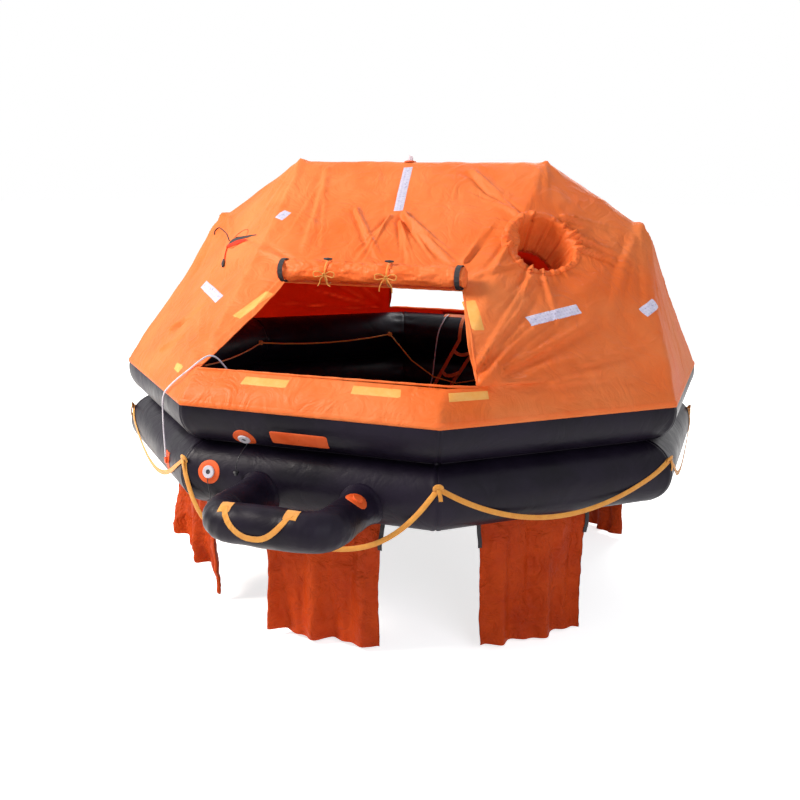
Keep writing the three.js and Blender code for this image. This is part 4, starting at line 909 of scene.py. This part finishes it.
def port_sleeve():
    """Gathered lip and sleeve: a ruffled rim that turns in and hangs inside the opening."""
    right, up, out = PORT_AXES
    turn = np.linspace(0, 2 * np.pi, 260, endpoint=False)
    ruffle = (np.sin(turn * 17) + 0.6 * np.sin(turn * 29 + 1.0) + 0.5 * np.sin(turn * 41 + 2.0)) / 2.1
    left = bell((turn - math.pi + 0.35 + np.pi) % (2 * np.pi) - np.pi, 0.55)
    rows = []
    ragged = 0.007 * np.sin(turn * 2 + 0.6) + 0.005 * np.sin(turn * 3 + 2.2) + 0.003 * np.sin(turn * 7)
    profile = ((0.212, 0.0006, 0.2), (0.206, 0.0016, 0.7), (0.199, 0.0026, 1.1), (0.191, 0.0028, 1.5),
               (0.184, 0.0014, 1.7), (0.179, -0.004, 1.9), (0.176, -0.018, 2.1), (0.172, -0.036, 2.4),
               (0.167, -0.060, 2.8), (0.161, -0.090, 3.2), (0.153, -0.120, 3.4), (0.145, -0.150, 3.4),
               (0.138, -0.180, 3.3), (0.131, -0.205, 3.0), (0.127, -0.228, 2.6))
    for radius, depth, wave in profile:
        inner = smooth(-depth, 0.0, 0.03)
        drawn = left * inner * (0.055 - 0.10 * max(-depth - 0.1, 0))
        pulled = radius + 0.0024 * wave * ruffle + ragged * (1 - inner) - drawn
        flat = (PORT + right * (pulled * np.cos(turn))[:, None]
                + up * (pulled * 1.03 * np.sin(turn))[:, None])
        base = skin(flat) if depth > -0.02 else flat
        rows.append(base + out * (depth + 0.0012 * wave * ruffle * (depth >= 0))[:, None])
    mesh = grid_mesh("lookout_port_lip", np.array(rows), (False, True), flip=True)
    for face in mesh.polygons:
        face.material_index = int(face.index // len(turn) >= 4)
    # The sleeve rows take the brighter copy of the lining: painted light inside the port
    obj = settle(link("lookout_port_lip", mesh), [CANOPY, SLEEVE], ["lookout_port_sleeve"])
    shell = obj.modifiers.new("thickness", "SOLIDIFY")
    shell.thickness = 0.0018
    shell.offset = -1
    cord = (PORT + right * (0.1275 * np.cos(turn))[:, None] + up * (0.1275 * np.sin(turn))[:, None]
            - out * 0.228)
    closed = np.vstack([cord, cord[:1]])
    grid("port_draw_cord", tube_points(closed, 0.003, 8, up=tuple(out)), LINING,
         wrap=(False, True))


port_sleeve()


# Rolled flaps over the entrances


def flap_roll(name, node_name, side, shift, seed):
    """Cloth rolled up on itself, drawn in at its straps, with its turns showing at the ends."""
    low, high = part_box(node_name)
    centre = array(shift, (low.y + high.y) / 2, (low.z + high.z) / 2)
    x = np.linspace(-0.494, 0.494, 200)
    turn = np.linspace(0, 2 * np.pi, 60, endpoint=False)
    xx, tt = np.meshgrid(x, turn, indexing="ij")
    straps = sum(bell(xx - s, 0.020) for s in (-0.469, 0.469))
    ties = sum(bell(xx - s, 0.024) for s in (-0.22, 0.11))
    lumps = np.array([[noise.fractal(Vector((a * 9 + seed, math.cos(b) * 1.5, math.sin(b) * 1.5)),
                                     0.7, 2.2, 4) for b in turn] for a in x])
    diagonal = np.sin(xx * 46 + tt * 2 + seed) * 0.5 + np.sin(xx * 81 - tt * 3) * 0.3
    radius = 0.0520 + 0.0085 * lumps + 0.0026 * diagonal - 0.0045 * straps - 0.0050 * ties
    step = smooth(tt, 2 * np.pi - 0.35, 2 * np.pi - 0.02) * 0.0045 + 0.0025 * tt / (2 * np.pi)
    radius = radius + step - 0.003
    rows = [centre + np.stack([xx[i], side * radius[i] * np.sin(tt[i]), radius[i] * np.cos(tt[i])], 1)
            for i in range(len(x))]
    for sign, index in ((-1, 0), (1, -1)):
        caps = []
        for share in np.linspace(0.95, 0.02, 16):
            r = radius[index] * share
            spiral = 0.5 + 0.5 * np.cos(2 * np.pi * (share * 5) - turn)
            out = sign * (0.002 - 0.006 * spiral * smooth(share, 0.0, 0.2))
            caps.append(centre + np.stack([x[index] + out, side * r * np.sin(turn), r * np.cos(turn)], 1))
        rows = caps[::-1] + rows if sign < 0 else rows + caps
    grid(name, np.array(rows), CANOPY, [node_name], (False, True), flip=side < 0)


flap_roll("front_flap_cloth", "front_flap_roll", -1, 0.06, 3)
flap_roll("rear_flap_cloth", "rear_flap_roll", 1, 0.0, 8)


def bow(name, centre, side, seed):
    """A tie's knot with two loops and two short ends."""
    dice = np.random.default_rng(seed)
    centre = array(*centre)
    parts = []
    for way in (-1, 1):
        loop = [(0, 0, 0), (0.03 * way, 0.006, 0.016), (0.056 * way, 0.010, 0.010),
                (0.052 * way, 0.010, -0.010), (0.026 * way, 0.008, -0.008), (0, 0.003, 0)]
        tail = [(0, 0.003, 0), (0.018 * way, 0.008, -0.022),
                (0.026 * way + dice.uniform(-0.01, 0.01), 0.006, -0.046),
                (0.034 * way, 0.004, -0.066 + dice.uniform(-0.01, 0.01))]
        for line in (loop, tail):
            path = catmull([centre + array(a, side * b, c) for a, b, c in line], 6)
            cord = tube_points(path, 0.0026, 8, up=(0, 1, 0.1), capped=True)
            parts.append(grid_mesh("bow", cord, (False, True)))
    turn = np.linspace(0, 2 * np.pi, 16)
    knot = [centre + array(0.006 * math.cos(a), side * (0.005 + 0.003 * math.sin(a)), 0.007 * math.sin(a))
            for a in turn]
    parts.append(grid_mesh("bow", tube_points(knot, 0.0035, 8, up=(0, 1, 0.1)), (False, True)))
    joined(name, parts, YELLOW)


bow("front_bow_left", (-0.16, -0.975, 1.112), -1, 1)
bow("front_bow_right", (0.17, -0.975, 1.112), -1, 2)
bow("rear_bow_left", (-0.22, 0.975, 1.112), 1, 3)
bow("rear_bow_right", (0.11, 0.975, 1.112), 1, 4)


# Ballast bags


BAG_OUT = 1.347
BAG_TOP_Z = 0.021
BAG_DROP = 0.672
BAG_COLUMNS = 58


def ballast_bag(name, node_name, angle, seed, low_width=0.58, top_width=0.63, shift=0.0, twist=0.0,
                slant=0.0, drawn_up=0.0):
    """A cloth pocket hanging empty: two folded layers that meet at the sides and stand apart below."""
    dice = np.random.default_rng(seed)
    out, side = edge(angle)
    phase = dice.uniform(0, 6.28, 6)
    t = np.concatenate([np.linspace(0, 0.96, 60), np.linspace(0.965, 1, 8)])
    u = np.linspace(0, 1, BAG_COLUMNS)
    rows = []
    for share in t:
        width = top_width + (low_width - top_width) * share ** 1.5
        width -= 0.03 * math.sin(math.pi * share)
        depth = 0.006 + 0.020 * share ** 0.7
        fold = (np.sin(2 * np.pi * (2.2 * u + 0.25 * share) + phase[0])
                + 0.55 * np.sin(2 * np.pi * (4.6 * u - 0.3 * share) + phase[1])
                + 0.30 * np.sin(2 * np.pi * (9.3 * u + 0.5 * share) + phase[2]) * (1 - share))
        crumple = np.array([noise.fractal(Vector((a * 5 + seed, share * 7, 0.3)), 0.7, 2.2, 3) for a in u])
        gap = 0.0022 + 0.010 * np.sin(np.pi * u) * (0.3 + 0.7 * share) + 0.0015 * (share > 0.965)
        x = (u - 0.5) * width
        push = depth * fold + 0.011 * crumple
        layers = []
        for face in (1, -1):
            ripple = 0.004 * face * np.sin(2 * np.pi * 3 * u + phase[3 + (face > 0)]) * share
            layers.append(np.stack([x, push + face * gap + ripple], 1))
        ring = np.vstack([layers[0], layers[1][::-1][1:-1]])
        angle_here = twist * share ** 1.6
        c, s = math.cos(angle_here), math.sin(angle_here)
        ring = ring @ array((c, s), (-s, c))
        drop = BAG_TOP_Z - share * BAG_DROP
        fall = (drawn_up * share**1.5 * np.clip(0.5 - ring[:, 0] / width, 0, 1)
                + slant * share * ring[:, 0]
                + 0.007 * np.sin(ring[:, 0] * 9 + phase[5]) * share)
        rows.append(out * (BAG_OUT + ring[:, 1])[:, None] + side * (ring[:, 0] + shift * share)[:, None]
                    + array(0, 0, 1) * (drop + fall)[:, None])
    rows = np.array(rows)
    rows[..., 2] = np.clip(rows[..., 2], -BAG_DROP, BAG_TOP_Z)
    grid(name, rows, BAG, [node_name], (False, True), flip=False)
    parts = []
    for end in (0, BAG_COLUMNS - 1):
        path = rows[2:16, end]
        ups = np.repeat((out * 1.0)[None], len(path), 0)
        strap = ribbon_points(path + out * 0.006, ups, 0.022, 0.003)
        parts.append(grid_mesh("strap", strap, (False, True)))
    joined(name + "_straps", parts, BLACK_WEB)


ballast_bag("bag_front_cloth", "ballast_bag_front", 270, 11, low_width=0.585, slant=-0.03)
ballast_bag("bag_front_right_cloth", "ballast_bag_front_right", 315, 23, low_width=0.58, slant=-0.02)
ballast_bag("bag_front_left_cloth", "ballast_bag_front_left", 225, 31, low_width=0.40, top_width=0.60,
            shift=0.06, twist=-0.5, drawn_up=0.36)
ballast_bag("bag_rear_cloth", "ballast_bag_rear", 90, 41)
ballast_bag("bag_rear_right_cloth", "ballast_bag_rear_right", 45, 53, slant=0.03)
ballast_bag("bag_rear_left_cloth", "ballast_bag_rear_left", 135, 61, slant=-0.03)


# Lifelines, patches and small fittings


def outer_lifeline():
    """Flat webbing threaded through a patch at each corner of the lower tube, slack along each edge."""
    points, ups = [], []
    line = TUBE + 0.0028
    top = line * math.sin(math.radians(30))
    apothem = APOTHEM + line * math.cos(math.radians(30))
    for angle in sorted(EDGES):
        out, side = edge(angle)
        front = angle == 270
        sag = 0.345 if front else 0.2
        for t in np.sin(np.pi * (np.arange(44) / 44 - 0.5)):
            power = (9 if t < 0 else 3) if front else 2
            rise = top - sag * (1 - abs(t) ** power)
            reach = math.sqrt(line**2 - rise**2) if rise > 0 else line
            points.append(out * (APOTHEM + reach) + side * t * apothem * math.tan(math.pi / 8)
                          + array(0, 0, LOWER_Z + rise))
            ups.append(unit(out * reach + array(0, 0, max(rise, 0))))
    points, ups = np.array(points), np.array(ups)
    closed = np.vstack([points, points[:1]])
    closed_ups = np.vstack([ups, ups[:1]])
    parts = [grid_mesh("line", ribbon_points(closed, closed_ups, WEBBING, 0.003), (False, True))]
    for angle in EDGES:
        out, _ = edge(angle + 22.5)
        corner = out * (apothem / math.cos(math.pi / 8)) + array(0, 0, LOWER_Z + top)
        _, along = edge(angle + 22.5)
        turn = np.linspace(0, 2 * np.pi, 20)
        knot = [corner + along * 0.016 * math.cos(a) + out * (0.006 + 0.006 * math.sin(a))
                + array(0, 0, 0.014 * math.sin(a)) for a in turn]
        knot_ups = [unit(out + along * 0.3 * math.cos(a)) for a in turn]
        parts.append(grid_mesh("knot", ribbon_points(np.array(knot), np.array(knot_ups), 0.020, 0.004),
                               (False, True)))
        tail = np.array([corner + out * 0.012, corner + out * 0.016 - array(0, 0, 0.03) + along * 0.008,
                         corner + out * 0.013 - array(0, 0, 0.055) + along * 0.012])
        parts.append(grid_mesh("tail",
                               ribbon_points(catmull(tail, 6), np.repeat(out[None], 13, 0), 0.018, 0.003),
                               (False, True)))
    joined("outer_lifeline_webbing", parts, YELLOW, ["outer_lifeline"])


outer_lifeline()


def tube_patch(name, angle, along, z, lean, size, round_shape, material, replaces):
    """A patch glued on a buoyancy tube, round or with round corners, its edge fading into the rubber."""
    turn = np.linspace(0, 2 * np.pi, 96, endpoint=False)
    c, s = np.cos(turn), np.sin(turn)
    if round_shape:
        shape = np.stack([c, s], 1) * size[0]
    else:
        power = 2 / 14
        shape = np.stack([np.sign(c) * np.abs(c) ** power * size[0],
                          np.sign(s) * np.abs(s) ** power * size[1]], 1)
    rows = []
    for share, lift in ((1.0, 0.0002), (0.985, 0.0022), (0.96, 0.0026), (0.9, 0.0020), (0.87, 0.0026),
                        (0.7, 0.0027), (0.5, 0.0027), (0.3, 0.0027), (0.02, 0.0027)):
        a, b = shape[:, 0] * share, shape[:, 1] * share
        rows.append(on_ring(angle, along + a, z, lean + np.degrees(b / TUBE), TUBE + lift))
    return grid(name, np.array(rows), material, replaces, (False, True), flip=False)


for tag, (along, lean), z in (("upper", UPPER_VALVE, UPPER_Z), ("lower", LOWER_VALVE, LOWER_Z)):
    ring = tube_patch(f"{tag}_valve_ring", 270, along, z, lean, (0.058, 0.058), True, PATCH,
                      [f"{tag}_valve_patch"])
    centre = on_ring(270, along, z, lean)
    open_hole(ring.data, centre, centre - on_ring(270, along, z, lean, 0.0), 0.024, 0.08)
tube_patch("name_patch_bare", 270, -0.036, UPPER_Z, -33, (0.145, 0.039), False, PATCH,
           ["name_patch"])


def ramp_patch():
    """Oval patch under the ramp's valve cap."""
    turn = np.linspace(0, 2 * np.pi, 72, endpoint=False)
    rows = []
    for share, lift in ((1.0, 0.0002), (0.985, 0.0024), (0.95, 0.0028), (0.88, 0.0021), (0.85, 0.0028),
                        (0.5, 0.0028), (0.02, 0.0028)):
        a, b = 0.052 * share * np.cos(turn), 0.052 * share * np.sin(turn)
        angle = math.radians(62) + b / RAMP
        r = RAMP + lift + 0.0015
        rows.append(np.stack([0.278 + r * np.cos(angle), -1.705 + a, RAMP_Z + r * np.sin(angle)], 1))
    grid("ramp_valve_ring", np.array(rows), PATCH, ["ramp_valve_patch"], (False, True))


ramp_patch()


def collector_trim():
    """Mouth of the rain collector: a black sheet over its cut opening, painted shade for the dark inside,
    with its lip, hanging loop and toggle.
    """
    # A black webbing sheet over the cut opening: painted shade in the collector's mouth
    strip_on_skin("collector_mouth_painted_shade", (-1.014, -0.408, 1.222), (-0.800, -0.512, 1.286), 0.056, 0.0015,
                  BLACK_WEB,
                  taper=lambda t: 0.12 + 0.88 * (1 - t) ** 1.3 * smooth(t + 0.12, 0, 0.15))
    strip_on_skin("collector_lip", (-1.018, -0.440, 1.200), (-0.850, -0.520, 1.255), 0.036, 0.006, LINING,
                  taper=lambda t: np.sin(np.pi * np.clip(t * 0.9 + 0.1, 0, 1)) ** 0.7 + 0.05)
    loop = skin(catmull([(-1.030, -0.395, 1.235), (-1.10, -0.31, 1.262), (-1.19, -0.19, 1.286),
                         (-1.228, -0.152, 1.289), (-1.245, -0.175, 1.27), (-1.238, -0.20, 1.255)],
                         8), 0.004)
    grid("collector_loop", tube_points(loop, 0.0028, 8, capped=True), BLACK_WEB,
         wrap=(False, True))
    drop = skin(catmull([(-1.010, -0.445, 1.205), (-0.995, -0.50, 1.168), (-0.975, -0.56, 1.135)],
                        8), 0.004)
    grid("collector_drop", tube_points(drop, 0.003, 8, capped=True), LINING,
         wrap=(False, True))
    toggle = skin(catmull([(-0.985, -0.565, 1.142), (-0.957, -0.599, 1.116),
                           (-0.935, -0.625, 1.098)], 8), 0.009)
    width = 0.005 + 0.004 * np.sin(np.linspace(0, np.pi, len(toggle)))
    grid("collector_toggle", tube_points(toggle, width, 14, capped=True), PLASTIC,
         wrap=(False, True))


collector_trim()


# Cords take their place on the raft

for name, (obj, length) in cords.items():
    thin = "tether" in name
    settle(obj, PLASTIC if thin else LINE, [name])


# CAD nodes that keep their own shape take a full finish

KEPT = {
    "upper_valve_body": GREY_PLASTIC, "lower_valve_body": GREY_PLASTIC,
    "upper_valve_poppet": DARK_PLASTIC, "lower_valve_poppet": DARK_PLASTIC,
    "upper_plug": PLASTIC, "lower_plug": PLASTIC, "ramp_valve_cap": PATCH, "ramp_handle": YELLOW,
    "light_base": PATCH, "light_dome": LAMP, "rain_collector": LINING, "inner_lifeline": YELLOW,
    "painter_patch": PATCH, "painter_knot": LINE, "rear_line_knot": LINE, "boarding_ladder": ORANGE,
    "gas_cylinder": STEEL, "operating_head": BRASS, "cylinder_cradle": RUBBER, "filling_hose": RUBBER,
}
for end in ("front", "rear"):
    for hand in ("left", "right"):
        KEPT[f"{end}_flap_strap_{hand}"] = BLACK_WEB
        KEPT[f"{end}_flap_tie_{hand}"] = YELLOW
        KEPT[f"{end}_flap_toggle_{hand}"] = PLASTIC
for name, material in KEPT.items():
    obj = nodes[name]
    for index in range(max(len(obj.material_slots), 1)):
        if obj.material_slots:
            obj.material_slots[index].material = material
        else:
            obj.data.materials.append(material)


# Light and backdrop


def light(name, place, target, size, power, colour):
    data = bpy.data.lights.new(name, "AREA")
    data.size = size
    data.energy = power
    data.color = linear(colour)[:3]
    lamp = bpy.data.objects.new(name, data)
    scene.collection.objects.link(lamp)
    lamp.location = place
    lamp.rotation_mode = "QUATERNION"
    lamp.rotation_quaternion = (Vector(target) - Vector(place)).to_track_quat("-Z", "Y")


light("key", (-5.6, -3.6, 5.2), (0, 0, 0.8), 3.0, 860, "fff6ee")
light("fill", (5.5, -6.0, 3.0), (0.3, 0, 0.4), 4.5, 200, "f4f2ff")
light("back", (0.5, 5.5, 4.6), (0, 0, 0.8), 4.0, 300, "ffffff")


def backdrop_rays(tree):
    """One for the rays that show the backdrop: seen, mirrored or through something clear."""
    path = node(tree, "LightPath")
    seen = node(tree, "Math", {0: path.outputs["Is Camera Ray"], 1: path.outputs["Is Glossy Ray"]},
                operation="MAXIMUM")
    return node(tree, "Math", {0: seen.outputs[0], 1: path.outputs["Is Transmission Ray"]},
                operation="MAXIMUM").outputs[0]


def make_world():
    world = bpy.data.worlds.new("white_studio")
    scene.world = world
    world.use_nodes = True
    tree = world.node_tree
    tree.nodes.clear()
    strength = ranged(tree, backdrop_rays(tree), 0.30, 1.0)
    back = node(tree, "Background", {"Color": linear("ffffff"), "Strength": strength})
    node(tree, "OutputWorld", {"Surface": back.outputs[0]})


make_world()


def studio_floor():
    """A plain pale floor just under the hanging bags."""
    corners = np.array([[(-90, -60, 0), (90, -60, 0)], [(-90, 200, 0), (90, 200, 0)]], float)
    corners[..., 2] = -0.676
    floor = link("studio_floor", grid_mesh("studio_floor", corners))
    paper = finish("floor_pale_paper", "f6f5f4", "fbfaf9", 1.5, (0.85, 0.95), 300, 0.00005,
                   **{"Emission Color": linear("ffffff")})
    tree = paper.node_tree
    body = next(n for n in tree.nodes if n.type == "BSDF_PRINCIPLED")
    tree.links.new(ranged(tree, backdrop_rays(tree), 0.0, 0.72), body.inputs["Emission Strength"])
    floor.data.materials.append(paper)


studio_floor()
scene.view_settings.view_transform = "Standard"
